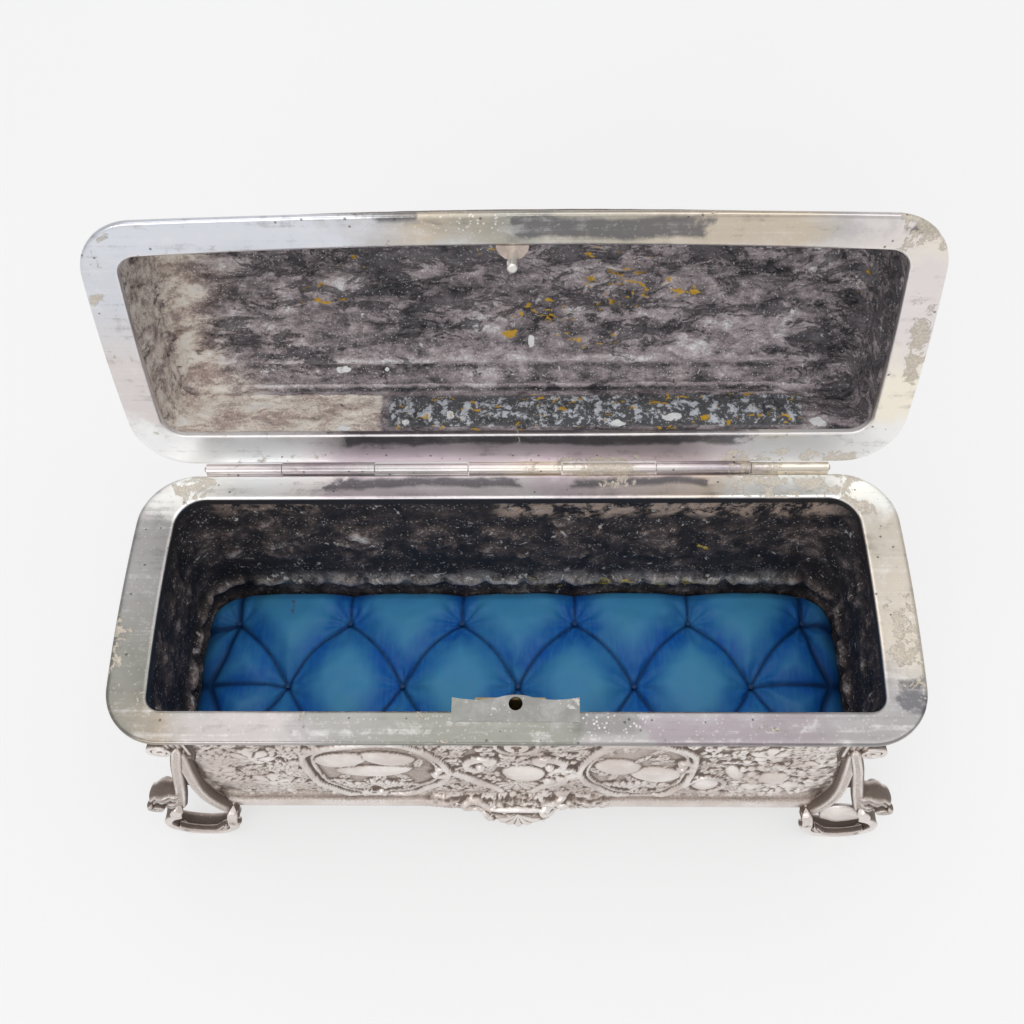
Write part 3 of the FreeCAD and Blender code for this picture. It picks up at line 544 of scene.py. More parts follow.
def rim_rows(half, opening, bow, inner, sign):
    """Rows of a rim from its hidden inside, round the outer edge, over the face to the inner edge."""
    rows, edges = [], []
    outer = [
        (1.8, 2.0), (0.5, 1.98), (0.12, 1.75), (0.0, 1.35), (0.0, 0.8), (0.1, 0.4), (0.3, 0.16),
        (0.7, 0.03)
    ]
    for inset, depth in outer:
        rows.append((rim_edge(half, inset, bow), depth, 0.0))
    first, last = rim_edge(half, 1.2, bow), opening(1.3)
    for t in np.linspace(0, 1, 9):
        rows.append((first * (1 - t) + last * t, 0.02 + 0.06 * math.sin(math.pi * t), 0.0))
    rows += [(opening(grow), depth, mark) for grow, depth, mark in inner]
    grid, lips = [], []
    for points, depth, mark in rows:
        hills = (
            0.035 * lumps(points[:, 0], points[:, 1], 19, 5)
            + 0.02 * lumps(points[:, 0], points[:, 1], 7, 6)
        )
        level = sign * (SEAM + depth + np.where(depth < 0.3, np.abs(hills), 0))
        grid.append(at_level(points, level))
        edges.append(np.full(len(points), max(mark, 0.0)))
        lips.append(np.full(len(points), max(-mark, 0.0)))
    return grid, {"edge": edges, "lip": lips}


# %% Base rim and lid rim
# Inner rows are (grow, depth, mark): a mark above 0 is the painted highlight of the inner edge, a mark below 0
# the near-black lip.
base_inner = [
    (0.9, 0.0, 0.0), (0.5, 0.01, 0.3), (0.2, 0.10, 0.9), (0.04, 0.28, 0.8), (0, 0.5, -0.3),
    (0, 0.8, -1), (0, 2.0, -1)
]
base_inner += [(0.0, 3.2, -1), (0.25, 3.65, -1), (0.8, 3.72, -1), (1.15, 3.5, -1), (1.2, 2.1, -1)]
grid, marks = rim_rows(HALF_BASE, base_opening, 0.0, base_inner, -1)
skin(
    "base_rim_plate", [(grid, True, True)], "casket", base_plate, ["base_rim"], marks=marks
)
lid_inner = [
    (0.9, 0.0, 0.2), (0.4, 0.02, 0.8), (0.12, 0.16, 1.0), (0.0, 0.45, 1.0), (0.0, 1.2, 0.4),
    (0.05, 2.0, -0.5)
]
grid, marks = rim_rows(HALF_LID, lid_opening, 2.0, lid_inner, 1)
skin("lid_rim_plate", [(grid, True, False)], "lid", lid_plate, ["lid_rim"], True, marks)

# %% [markdown]
# ## A height map for relief
# The walls are covered with raised ornament: scrolls, leaves, flowers, fruit and smooth bosses in
# scrolled frames. Sculpting each leaf as its own mesh would be slow, so ornaments are pressed into
# a height map, the higher shape winning, as a chaser raises them from behind. The map then moves
# the wall's points outward. The same map says where dirt gathers: wherever a place is lower than
# its surroundings.

# %% Height map
class Relief:
    """A height map in millimetres over a flat area."""

    def __init__(self, low, high, step):
        self.low, self.step = np.array(low, float), step
        count = ((np.array(high, float) - self.low) / step).astype(int) + 1
        self.height = np.zeros(count)

    def window(self, u, v, reach):
        """The part of the map within reach of a place, and its offsets from there."""
        i, j = (np.array([u, v]) - self.low) / self.step
        r = reach / self.step + 1
        n, m = self.height.shape
        part = (
            slice(max(0, int(i - r)), min(n, int(i + r) + 1)),
            slice(max(0, int(j - r)), min(m, int(j + r) + 1))
        )
        a = np.arange(part[0].start, max(part[0].stop, part[0].start)) * self.step + self.low[0] - u
        b = np.arange(part[1].start, max(part[1].stop, part[1].start)) * self.step + self.low[1] - v
        return part, a[:, None], b[None, :]

    def raise_to(self, part, shape):
        self.height[part] = np.maximum(self.height[part], shape)

    def read(self, values, u, v):
        """Values of a map between its cells."""
        x = np.clip((u - self.low[0]) / self.step, 0, self.height.shape[0] - 1.001)
        y = np.clip((v - self.low[1]) / self.step, 0, self.height.shape[1] - 1.001)
        i, j = x.astype(int), y.astype(int)
        a, b = x - i, y - j
        low = values[i, j] * (1 - a) + values[i + 1, j] * a
        high = values[i, j + 1] * (1 - a) + values[i + 1, j + 1] * a
        return low * (1 - b) + high * b

    def softened(self, size):
        """The map averaged over squares of one size, twice."""
        blurred = self.height
        k = max(1, int(size / self.step / 2))
        for axis in (0, 1, 0, 1):
            pad = [(k + 1, k) if a == axis else (0, 0) for a in (0, 1)]
            total = np.cumsum(np.pad(blurred, pad, mode="edge"), axis=axis)
            width = 2 * k + 1
            blurred = (
                np.take(total, range(width, total.shape[axis]), axis)
                - np.take(total, range(0, total.shape[axis] - width), axis)
            ) / width
        return blurred

    def dirt(self):
        """0 on high places and 1 in deep ones."""
        low_ground = 0.36 * (1 - np.clip(self.height / 1.3, 0, 1))
        below = 0.9 * (self.softened(2.2) - self.height) + 0.9 * (self.softened(0.9) - self.height)
        return np.clip(0.14 + low_ground + below, 0, 1)


def turned(a, b, turn):
    return a * math.cos(turn) + b * math.sin(turn), b * math.cos(turn) - a * math.sin(turn)


# %% [markdown]
# ## Ornaments
# A boss is a smooth dome. A ridge follows a line, and a scroll is such a line whose bend tightens
# towards its ends until it curls into volutes. A leaf has a lobed edge, side ribs and a sunk vein.
# Flowers, grapes and shells are built from the same few formulas.

# %% Ornaments
ROUND = 6.28  # a whole turn, in radians


def boss(relief, u, v, size, height, turn=0.0, power=0.5, crease=0.0):
    part, a, b = relief.window(u, v, max(size))
    a, b = turned(a, b, turn)
    dome = np.clip(1 - (a / size[0]) ** 2 - (b / size[1]) ** 2, 0, 1) ** power
    relief.raise_to(part, height * dome * (1 - crease * hill(b, 0.25 * size[1])))


def ridge(relief, points, width, height):
    points = np.asarray(points, float)
    for p, q in zip(points[:-1], points[1:]):
        way = q - p
        part, a, b = relief.window(*((p + q) / 2), np.linalg.norm(way) / 2 + width)
        t = np.clip((a * way[0] + b * way[1]) / max(way @ way, 1e-6), -0.5, 0.5)
        gap = np.hypot(a - t * way[0], b - t * way[1])
        relief.raise_to(part, height * np.sqrt(np.clip(1 - (gap / width) ** 2, 0, 1)))


def scroll_line(u, v, length, turn, curl=4.6):
    """A line that curls in at both ends."""
    t = np.linspace(-1, 1, 57)
    heading = curl * t * (0.35 + 0.65 * np.abs(t) ** 2.4)
    xy = np.cumsum(np.column_stack([np.cos(heading), np.sin(heading)]), 0) * length / len(t)
    xy -= xy[len(t) // 2]
    x, y = turned(xy[:, 0], xy[:, 1], -turn)
    return np.column_stack([u + x, v + y])


def scroll(relief, u, v, length, turn, width, height, curl=4.6):
    line = scroll_line(u, v, length, turn, curl)
    ridge(relief, line, width, height)
    for end in (line[0], line[-1]):
        boss(relief, *end, (width * 1.25, width * 1.25), height * 1.1)


def leaf(relief, u, v, turn, length, width, height, lobes=4, bend=0.0):
    middle = u + math.cos(turn) * length / 2, v + math.sin(turn) * length / 2
    part, a, b = relief.window(*middle, length * (0.62 + abs(bend)) + width)
    a, b = turned(a, b, turn)
    a = a / length + 0.5
    b = b - bend * length * a * a
    share = np.clip(a, 0, 1)
    half = width * np.sin(math.pi * share**0.75) ** 0.8 * (
        0.66 + 0.34 * np.abs(np.sin(lobes * math.pi * share))
    )
    edge = np.sqrt(np.clip(1 - (b / np.maximum(half, 0.02)) ** 2, 0, 1)) * ((a > 0) & (a < 1))
    ribs = 0.78 + 0.22 * np.cos(2 * math.pi * lobes * (share - 0.5 * np.abs(b) / width))
    vein = 1 - 0.45 * hill(b, 0.14 * width + 0.12)
    relief.raise_to(part, height * edge * ribs * vein * (0.62 + 0.38 * np.sin(math.pi * share)))


def spray(relief, u, v, turn, size, height, count=5, spread=2.0):
    """Leaves that fan out from one root."""
    for k in range(count):
        share = k / (count - 1) - 0.5
        long = size * (1 - 0.5 * abs(share))
        leaf(
            relief, u, v, turn + spread * share, long, long * 0.22, height * (1 - 0.3 * abs(share)), 4,
            0.22 * share
        )
    boss(relief, u, v, (size * 0.1, size * 0.1), height)


def flower(relief, u, v, radius, height, petals=6, turn=0.0):
    part, a, b = relief.window(u, v, radius)
    gap, angle = np.hypot(a, b), np.arctan2(b, a) + turn
    petal = np.abs(np.cos(angle * petals / 2)) ** 0.7
    edge = np.clip(1 - (gap / (radius * (0.62 + 0.38 * petal))) ** 2, 0, 1) ** 0.5
    cup = 0.55 + 0.45 * (gap / radius)
    relief.raise_to(part, height * edge * (0.45 + 0.55 * petal) * cup)
    boss(relief, u, v, (radius * 0.27, radius * 0.27), height * 0.9)


def grapes(relief, u, v, turn, length, berry, height):
    rows = int(length / berry / 1.6)
    for row in range(rows):
        count = max(1, rows - row)
        for k in range(count):
            x, y = row * berry * 1.6, (k - (count - 1) / 2) * berry * 1.85
            x, y = turned(x, y, -turn)
            boss(relief, u + float(x), v + float(y), (berry, berry), height * (1 - 0.25 * row / rows))


def shell(relief, u, v, turn, radius, height, ribs=7):
    part, a, b = relief.window(u, v, radius)
    a, b = turned(a, b, turn)
    gap, angle = np.hypot(a, b) / radius, np.arctan2(b, a)
    fan = np.clip(1 - (angle / 1.35) ** 4, 0, 1)
    rib = 0.62 + 0.38 * np.abs(np.cos(angle * ribs / 1.35 * math.pi / 2))
    edge = np.clip(1 - (gap / (0.9 + 0.1 * rib)) ** 6, 0, 1)
    relief.raise_to(part, height * edge * fan * rib * (0.35 + 0.65 * gap))


def petal(relief, u, v, size, height, turn=0.0):
    """A smooth petal with a shallow crease along it."""
    boss(relief, u, v, size, height, turn, 0.55, 0.12)


def pressed(relief, inside_of, floor):
    """Presses the ground back to a low floor inside a closed line."""
    line = np.asarray(inside_of)
    middle = line.mean(0)
    part, a, b = relief.window(*middle, np.abs(line - middle).max())
    angle = np.arctan2(b, a)
    around = np.arctan2(line[:, 1] - middle[1], line[:, 0] - middle[0])
    order = np.argsort(around)
    reach = np.interp(angle, around[order], np.hypot(*(line - middle).T)[order], period=2 * math.pi)
    share = np.hypot(a, b) / reach
    relief.height[part] = np.where(share < 1, floor * (1.3 - share), relief.height[part])


SHIELD = np.array([(-1.0, 0.4), (-0.78, 0.74), (-0.2, 0.93), (0.42, 0.95), (0.84, 0.55)])
SHIELD = np.vstack([SHIELD, [(1.0, -0.03), (0.7, -0.5), (0.3, -0.8), (-0.55, -0.82), (-0.92, -0.4)]])
SHIELD_LEAVES = (
    (26, (-0.78, 0.72), (-0.74, 0.86), 1, (5, 8), (1.2, 1.9), (0.7, 1.3), 3),
    (12, (-0.72, 0.5), (0.30, 0.72), -1, (7, 10), (1.7, 2.4), (1.0, 1.6), 4),
)
SHIELD_SCROLLS = (
    (1.02, 0.04, 1.3, 17), (-0.98, 0.28, 1.5, 16), (0.35, 0.98, 0.1, 18), (-0.2, -0.86, 0.0, 15)
)


def shield(relief, u, v, half_u, half_v, side, seed):
    """A frame bent into a shield, with smooth petals above and leaves and berries below."""
    rng = np.random.default_rng(seed)
    line = closed_curve(SHIELD * (side * half_u, half_v) + (u, v), 90)
    pressed(relief, line, 0.25)
    for count, across, high, way, *sizes, lobes in SHIELD_LEAVES:
        for k in range(count):
            x, y = u + half_u * rng.uniform(*across), v + half_v * way * rng.uniform(*high)
            leaf(relief, x, y, rng.uniform(0, ROUND), *(rng.uniform(*size) for size in sizes), lobes)
    grapes(relief, u + side * half_u * 0.12, v - half_v * 0.32, -1.57 - side * 0.3, 12, 1.2, 1.7)
    flower(relief, u - side * half_u * 0.46, v - half_v * 0.52, 4.2, 1.6, 6)
    ridge(relief, line, 1.05, 2.0)
    inner_line = closed_curve(SHIELD * (side * half_u * 0.87, half_v * 0.91) + (u, v), 90)
    ridge(relief, inner_line, 0.5, 1.1)
    for share_u, share_v, turn, long in SHIELD_SCROLLS:
        scroll(
            relief, u + side * share_u * half_u, v + share_v * half_v, long, side * turn, 0.95, 2.0,
            4.6 * side
        )


def stretch(count, a, b, c, d):
    """A smooth stretch of line from b to c, coming from a and going on to d."""
    t = np.linspace(0, 1, count, endpoint=False)[:, None]
    return 0.5 * (
        2 * b + (c - a) * t + (2 * a - 5 * b + 4 * c - d) * t**2 + (3 * b - a - 3 * c + d) * t**3
    )


def closed_curve(points, count):
    """A smooth closed line through a few places."""
    p = np.asarray(points, float)
    n = len(p)
    line = np.vstack(
        [stretch(max(3, count // n), *(p[(k + m) % n] for m in (-1, 0, 1, 2))) for k in range(n)]
    )
    return np.vstack([line, line[:1]])


def oval_line(u, v, half_u, half_v, count=49):
    t = np.linspace(0, 2 * math.pi, count)
    return np.column_stack([u + half_u * np.cos(t), v + half_v * np.sin(t)])


print("ornaments ready")

# %% [markdown]
# ## The ornament of the four walls
# The map runs once round the body: front, right end, back, left end. The ground is filled with
# small leaves first, then come sprays, fruit and flowers, and last the framed fields, which push
# the ground back. Each stretch has its own design, and the place of the keyhole is left plain.

# %% Wall map
BODY_COUNTS = (330, 30, 74, 268)
BODY_TOP, BODY_BOTTOM = -2.075, -70.0


def body_outline(inset):
    radius = 25.0 - inset
    return outline(HALF_BASE - inset, FRONT + inset, BACK - inset, (radius, radius), BODY_COUNTS)


wall_place, wall_round = places_along(body_outline(3.4))
n_front, n_corner, n_end, n_back = BODY_COUNTS
front_centre = wall_place[n_front // 2]
right_centre = wall_place[n_front + n_corner + n_end // 2]
back_centre = wall_place[n_front + 2 * n_corner + n_end + n_back // 2]
left_centre = wall_place[n_front + 3 * n_corner + n_end + n_back + n_end // 2]
MARGIN = 25.0  # the map runs on past both of its ends, so that the seam can be shared
walls = Relief((-MARGIN, BODY_BOTTOM), (wall_round + MARGIN, 0), 0.3)


def ground_leaves(relief, u_range, v_range, count, seed, height=1.0):
    """Small overlapping leaves, ferns and curls that leave no bare ground."""
    rng = np.random.default_rng(seed)
    i, j = ((np.array([a, b]) - relief.low) / relief.step for a, b in zip(u_range, v_range))
    part = (slice(int(i[0]), int(i[1])), slice(max(0, int(j[0])), int(j[1])))
    u = relief.low[0] + relief.step * np.arange(part[0].start, part[0].stop)[:, None]
    v = relief.low[1] + relief.step * np.arange(part[1].start, part[1].stop)[None]
    u, v = np.broadcast_arrays(u, v)
    rough = 0.30 + 0.22 * lumps(u, v, 2.1, seed) + 0.14 * lumps(u, v, 0.95, seed + 1)
    relief.raise_to(part, rough * height)
    for k in range(count):
        u, v = rng.uniform(*u_range), rng.uniform(*v_range)
        size = rng.uniform(4.0, 8.0)
        tall = rng.uniform(0.55, 1.25) * height
        if k % 7 == 3:
            scroll(relief, u, v, size * 1.2, rng.uniform(0, ROUND), 0.5, tall, 4.5)
        elif k % 7 == 5:
            for m in range(4):
                boss(relief, u + rng.uniform(-2, 2), v + rng.uniform(-2, 2), (0.9, 0.9), tall)
        else:
            leaf(
                relief, u, v, rng.uniform(0, ROUND), size, size * 0.22, tall, 3,
                rng.uniform(-0.35, 0.35)
            )


def long_wall(relief, centre, seed):
    """Two shields with a smooth bud between them, flowers at one end and fruit at the other."""
    ground_leaves(relief, (centre - 108, centre + 108), (-63, -2.5), 1500, seed)
    for x, v, turn, size in (
        (-92, -54, 1.3, 20), (-70, -58, 1.9, 18), (-84, -30, 2.4, 16), (-66, -36, 0.6, 15)
    ):
        spray(relief, centre + x, v, turn, size, 1.6, 9, 2.8)
    for x, v, turn, size in ((66, -58, 1.1, 16), (92, -55, 1.9, 18), (84, -12, -1.4, 15)):
        spray(relief, centre + x, v, turn, size, 1.5, 9, 2.8)
    for x, v, r in ((-74, -22, 6.6), (-87, -36, 5.8), (-73, -46, 7.0), (71, -19, 6.0), (87, -26, 5.6)):
        flower(relief, centre + x, v, r, 2.0, 6 if r > 6.2 else 5, r)
    rng = np.random.default_rng(seed + 9)
    for k in range(90):
        x, v = centre + rng.uniform(64, 100), rng.uniform(-60, -24)
        boss(relief, x, v, (1.5, 1.5), rng.uniform(1.0, 1.9), 0, 0.6)
    for x, v, r in ((75.5, -41, 5.0), (81, -48, 3.6), (70, -50, 3.4)):
        boss(relief, centre + x, v, (r, r * 1.1), 2.1, 0.3, 0.6)
    for x, v, turn in ((-100, -16, -1.2), (-60, -14, -2.0), (98, -44, -1.6)):
        grapes(relief, centre + x, v, turn, 12, 1.3, 1.8)
    petal(relief, centre + 56.5, -49.5, (4.4, 7.8), 2.0)
    ridge(relief, oval_line(centre + 56.5, -49.5, 5.6, 9.2), 0.8, 1.8)
    petal(relief, centre + 63.5, -36, (2.6, 7.0), 1.8, 0.3)
    shield(relief, centre - 40, -37, 20.4, 29.5, 1, seed + 1)
    for x, v, half_u, half_v, turn in (
        (-49.5, -24.5, 8.6, 5.6, 0.35), (-41, -34.5, 11.4, 4.6, 0.1), (-36, -23, 8.2, 5.2, -0.4)
    ):
        petal(relief, centre + x, v, (half_u, half_v), 2.15, turn)
    shield(relief, centre + 35, -37, 16.2, 29.5, -1, seed + 2)
    for x, v, half_u, half_v, turn in ((29.5, -30.5, 6.6, 7.4, 0.7), (41, -38, 7.0, 8.2, 0.9)):
        petal(relief, centre + x, v, (half_u, half_v), 2.15, turn)
    petal(relief, centre + 2.4, -37.5, (6.4, 8.2), 2.2, 0.2)
    for side in (-1, 1):
        ridge(
            relief,
            [(centre + 0.2 + side * 18, -36), (centre + 0.2 + side * 12, -45), (centre + side * 5, -57.5)],
            1.6, 1.9
        )
        scroll(relief, centre + side * 13, -25, 24, 1.57 + side * 0.5, 1.3, 2.1, 4.6 * side)
        leaf(relief, centre + side * 8, -50, -1.57 + side * 0.5, 12, 2.6, 1.7, 4)
        spray(relief, centre + side * 12, -12, 1.57 - side * 1.2, 10, 1.4, 5, 2.0)
    scroll(relief, centre + 13, -45, 15, 0.5, 1.3, 2.0, 5.2)
    shell(relief, centre, -48, -math.pi / 2, 11, 1.9, 7)
    ground_leaves(relief, (centre - 30, centre + 30), (-70, -60), 130, seed + 3, 1.1)
    for side in (-1, 1):
        scroll(relief, centre + side * 12, -64, 18, side * 0.3, 1.2, 2.0, 4.6 * side)
        leaf(
            relief, centre + side * 17, -63, -side * 0.2 if side > 0 else math.pi + 0.2, 13, 2.4, 1.6, 4
        )
        spray(relief, centre + side * 5, -66, 1.57 - side * 0.9, 9, 1.7, 5, 1.8)


def end_wall(relief, centre, seed):
    """An oval frame with three petals, between flowers and ferns."""
    ground_leaves(relief, (centre - 37, centre + 37), (-63, -2.5), 560, seed)
    for side in (-1, 1):
        spray(relief, centre + side * 27, -56, math.pi / 2 + side * 0.2, 20, 1.6, 9, 2.6)
        flower(relief, centre + side * 28, -17, 5.6, 1.9, 6)
        scroll(relief, centre + side * 20.5, -34, 30, math.pi / 2, 1.1, 2.0, side * 4.5)
    pressed(relief, oval_line(centre, -34, 15.5, 24), 0.3)
    ground_leaves(relief, (centre - 8, centre + 8), (-54, -36), 40, seed + 1, 0.9)
    spray(relief, centre, -54, math.pi / 2, 12, 1.6, 7, 2.4)
    ridge(relief, oval_line(centre, -34, 15.5, 24, 97), 1.35, 2.1)
    ridge(relief, oval_line(centre, -34, 13.4, 21.6, 97), 0.5, 1.1)
    for x, v, half_u, half_v, turn in (
        (-5.5, -26, 6.2, 6.6, 0.4), (6, -27.5, 6.2, 5.8, -0.4), (0, -42, 8, 6, 0.0)
    ):
        petal(relief, centre + x, v, (half_u, half_v), 2.1, turn)


long_wall(walls, front_centre, 21)
end_wall(walls, right_centre, 31)
long_wall(walls, back_centre, 41)
end_wall(walls, left_centre, 51)
margin_cells = int(MARGIN / walls.step)
round_cells = int(round(wall_round / walls.step))
head, tail = slice(0, 2 * margin_cells), slice(round_cells, round_cells + 2 * margin_cells)
shared = np.maximum(walls.height[head], walls.height[tail])
walls.height[head] = walls.height[tail] = shared
pressed(walls, oval_line(front_centre + 0.8, -11.8, 5.6, 6.6), 0.0)
ridge(walls, oval_line(front_centre + 0.8, -11.8, 5.9, 6.9), 0.6, 1.1)
print("wall map", walls.height.shape, "highest", round(walls.height.max(), 2), "mm")

# %% [markdown]
# ## Finishes of the cast metal
# The cast parts were plated over the relief. High places were rubbed bright and warm by hands and polish, and
# the hollows keep a brown-black patina. The dirt mark, worked out from the height map, mixes the two, and on
# some pieces it also holds painted shade. Inside, the metal was never polished: the box is nearly black and
# the lid a rough grey, with tan, blue-black and yellow stains, and painted shade on the lid's walls.

# %% Cast finishes
def cast_silver(name):
    f = Finish(name, 0.85, 0.4)
    dirt = f.mark("dirt")
    fine = f.noise(1500.0, 5.0, 0.7)
    clouds = f.noise(60.0, 5.0, 0.6)
    worn = f.band(dirt + (fine - 0.5) * 0.55 + (clouds - 0.5) * 0.40, 0.12, 0.80)
    bright = f.mix(f.band(clouds, 0.35, 0.65), (0.70, 0.615, 0.57), (0.90, 0.845, 0.81))
    dark = f.mix(fine, (0.10, 0.073, 0.060), (0.25, 0.195, 0.165))
    middle = f.mix(f.band(worn, 0.0, 0.55), bright, (0.46, 0.385, 0.34))
    f.colour = f.mix(f.band(worn, 0.45, 1.0), middle, dark)
    f.set("Base Color", f.colour)
    f.set("Metallic", 0.86 - worn * 0.50)
    f.set("Roughness", 0.29 + worn * 0.30 + fine * 0.10)
    f.bumps(fine * 0.7 + f.grain(1400.0) * 0.4 + f.noise(330.0, 5.0) * 0.9, 0.00016, 0.9)
    return f.material


def dark_inside():
    """Unpolished inside of the box: near black, with grey crumbs, copper under the rim, yellow dust."""
    f = Finish("dark cast inside", 0.15, 0.6)
    mottle = f.noise(150.0, 9.0, 0.72, 0.4)
    fine = f.noise(1500.0, 5.0, 0.75)
    x, z = f.axis("X"), f.axis("Z")
    tones = [
        (0.34, (7, 7, 8)), (0.47, (22, 19, 19)), (0.56, (42, 36, 34)), (0.63, (78, 70, 66)),
        (0.74, (150, 141, 134))
    ]
    level = mottle * 0.72 + fine * 0.28 + (f.mark("high") - 0.5) * 0.08
    f.colour = f.looks(level, 5.6, tones)
    bead = f.field(x, z, (-84, 88, 34, 41), 0.006)
    f.coat(
        bead * f.band(mottle, 0.36, 0.60) * 0.55,
        f.mix(fine, seen(72, 68, 64, 3.6), seen(160, 152, 145, 3.4))
    )
    copper = f.field(x, z, (-5, 95, 74, 83), 0.004) + f.field(x, z, (-90, -60, 76, 83), 0.004) * 0.5
    copper = copper * f.band(mottle, 0.44, 0.56)
    f.coat(copper * 0.85, f.mix(fine, seen(128, 100, 90, 3.0), seen(200, 166, 150, 2.2)))
    crumbs = f.dots(1100.0, 0.34, 0.20, 0.62, 0.66)
    f.coat(crumbs * 0.6, seen(150, 146, 142, 2.6))
    dust = f.band(f.noise(330.0, 5.0, 0.65, 0.5) + bead * 0.06, 0.64, 0.66)
    f.coat(dust * 0.7, seen(170, 165, 160, 2.4))
    ochre = f.field(x, z, (2, 70, 32, 39), 0.003) + f.field(x, z, (35, 60, 56, 62), 0.003) * 0.6
    ochre = (
        f.band(f.noise(330.0, 4.0, 0.6, 0.6, (0.4, 1, 1)) + ochre * 0.09, 0.65, 0.665)
        * f.band(ochre, 0.1, 0.5)
    )
    f.coat(ochre * 0.8, seen(190, 145, 50, 2.4))
    f.set("Base Color", f.colour)
    f.set("Roughness", 0.42 + mottle * 0.2 + fine * 0.15)
    f.set("Metallic", 0.15 + crumbs * 0.4 + copper * 0.3)
    f.bumps(fine * 0.5 + mottle * 1.3 + f.noise(420.0, 5.0) * 0.8, 0.0006, 1.0)
    return f.material


def rough_lid():
    """Unpolished inside of the lid: grey and granular, with soot and painted shade, tan, chalk, crust and
    ochre.
    """
    f = Finish("rough cast lid", 0.25, 0.6)
    mottle = f.noise(190.0, 10.0, 0.76, 0.3, (0.45, 1, 1))
    fine = f.noise(1500.0, 5.0, 0.78)
    tan, soot, crust = f.mark("tan"), f.mark("soot"), f.mark("crust")
    level = mottle * 0.72 + fine * 0.28 + (f.mark("dirt") - 0.4) * -0.17
    greys = [
        (0.36, (26, 26, 29)), (0.44, (70, 66, 68)), (0.50, (101, 94, 96)), (0.57, (128, 120, 122)),
        (0.67, (186, 180, 180))
    ]
    f.colour = f.looks(level, 2.5, greys)
    tans = [
        (0.34, (66, 58, 55)), (0.45, (112, 100, 95)), (0.53, (152, 137, 129)), (0.64, (208, 190, 175))
    ]
    warm = f.looks(level, 3.5, tans)
    f.coat(f.band(tan + (mottle - 0.5) * 0.8, 0.15, 0.85), warm)
    blots = f.noise(170.0, 10.0, 0.78, 0.6, (0.5, 1, 1.2))
    # Near-black blots, more of them where the soot mark is high, so partly painted shade.
    black = f.band(blots - soot * 0.085 + (fine - 0.5) * 0.10 + tan * 0.03, 0.425, 0.375)
    f.coat(black * 0.7, f.mix(fine, seen(18, 19, 23, 2.5), seen(64, 64, 68, 2.5)))
    leaves = f.noise(300.0, 7.0, 0.68, 0.3) * 0.7 + f.noise(900.0, 3.0) * 0.3
    scale = f.band(leaves + f.mark("high") * 0.045, 0.51, 0.58)
    band = f.mix(
        scale, f.mix(fine, seen(34, 36, 40, 2.8), seen(74, 74, 76, 2.8)),
        f.mix(fine, seen(112, 120, 132, 2.5), seen(196, 199, 206, 2.5))
    )
    f.coat(crust, band)
    crumbs = f.dots(1400.0, 0.34, 0.18, 0.62, 0.66)
    f.coat(crumbs * 0.6, seen(190, 186, 184, 2.5))
    flakes = f.band(f.noise(420.0, 6.0, 0.7, 0.8), 0.64, 0.665)
    f.coat(flakes * 0.7, seen(186, 184, 188, 2.5))
    chalk = f.band(f.mark("chalk") + (f.noise(420.0, 4.0) - 0.5) * 0.9, 0.48, 0.56)
    f.coat(chalk, seen(226, 221, 216, 2.5))
    place = f.mark("ochre")
    ochre = (
        f.band(f.noise(430.0, 4.0, 0.55, 0.5, (0.6, 1, 1)) + place * 0.05, 0.63, 0.65)
        * f.band(place, 0.08, 0.3)
    )
    f.coat(ochre * 0.9, f.mix(fine, seen(150, 105, 20, 1.7), seen(222, 160, 34, 1.8)))
    f.set("Base Color", f.colour)
    f.set("Roughness", 0.38 + mottle * 0.2 + fine * 0.15 + chalk * 0.3)
    f.set("Metallic", 0.30 - tan * 0.1 - crust * 0.15)
    f.bumps(fine * 0.45 + mottle * 1.2 + leaves * crust * 1.2 - black * 0.5 + chalk * 0.4, 0.0007, 1.0)
    return f.material


cast = cast_silver("cast silver")
inside = dark_inside()
lid_inside = rough_lid()
print("three cast finishes")

# %% [markdown]
# ## The body
# The outside is one skin whose rows go down the wall: neck, plain field, cove and foot moulding,
# each point moved out by the height map. The inside is a second skin, coarse and dark, with the
# back leaning in and a segmented bead just above the cushion.

# %% Body outside
shares = np.array([0.0, 0.08, 0.66, 0.76, 0.88, 0.93, 0.97, 1.0])
insets = np.array([4.2, 3.5, 3.5, 4.4, 4.2, 1.2, 1.0, 1.9])
drops = np.concatenate([np.linspace(0, 0.86, 96), np.linspace(0.866, 1.0, 18)])
body_edge = body_outline(0)
body_out = outward(body_edge)
dirt_map = walls.dirt()
from_middle = np.minimum(np.abs(wall_place - front_centre), np.abs(wall_place - back_centre))
near_middle = rise(from_middle, 30, -7)
rows, dirt_and_shade_rows = [], []
for drop in drops:
    z = BODY_TOP + drop * (BODY_BOTTOM - BODY_TOP)
    inset = np.interp(drop, shares, insets)
    below_rim = np.clip(drop / 0.02, 0, 1)
    fade = rise(drop, 0.90, -0.03) * below_rim
    fade = np.maximum(fade, near_middle * rise(drop, 1.0, -0.03) * below_rim * 0.9)
    high = walls.read(walls.height, wall_place, z) * fade
    tide = 0.06 * lumps(wall_place, z, 6, 3)
    rows.append(at_level(body_edge + body_out * (high - inset + tide)[:, None], z))
    # Painted shade: darker just under the rim and in the step between the cove and the foot moulding.
    seam_shade = 0.35 * hill(drop - 0.905, 0.012) + 0.3 * hill(drop, 0.02)
    dirt_and_shade_rows.append(walls.read(dirt_map, wall_place, z) * fade + 0.22 * (1 - fade) + seam_shade)
under = body_outline(7.0)
rows.append(at_level(under, BODY_BOTTOM))
dirt_and_shade_rows.append(np.full(len(under), 0.5))
dirt_and_shade_marks = {"dirt": dirt_and_shade_rows}
skin(
    "body_relief", [(rows, True, True)], "casket", cast, ["body_shell"], marks=dirt_and_shade_marks
)

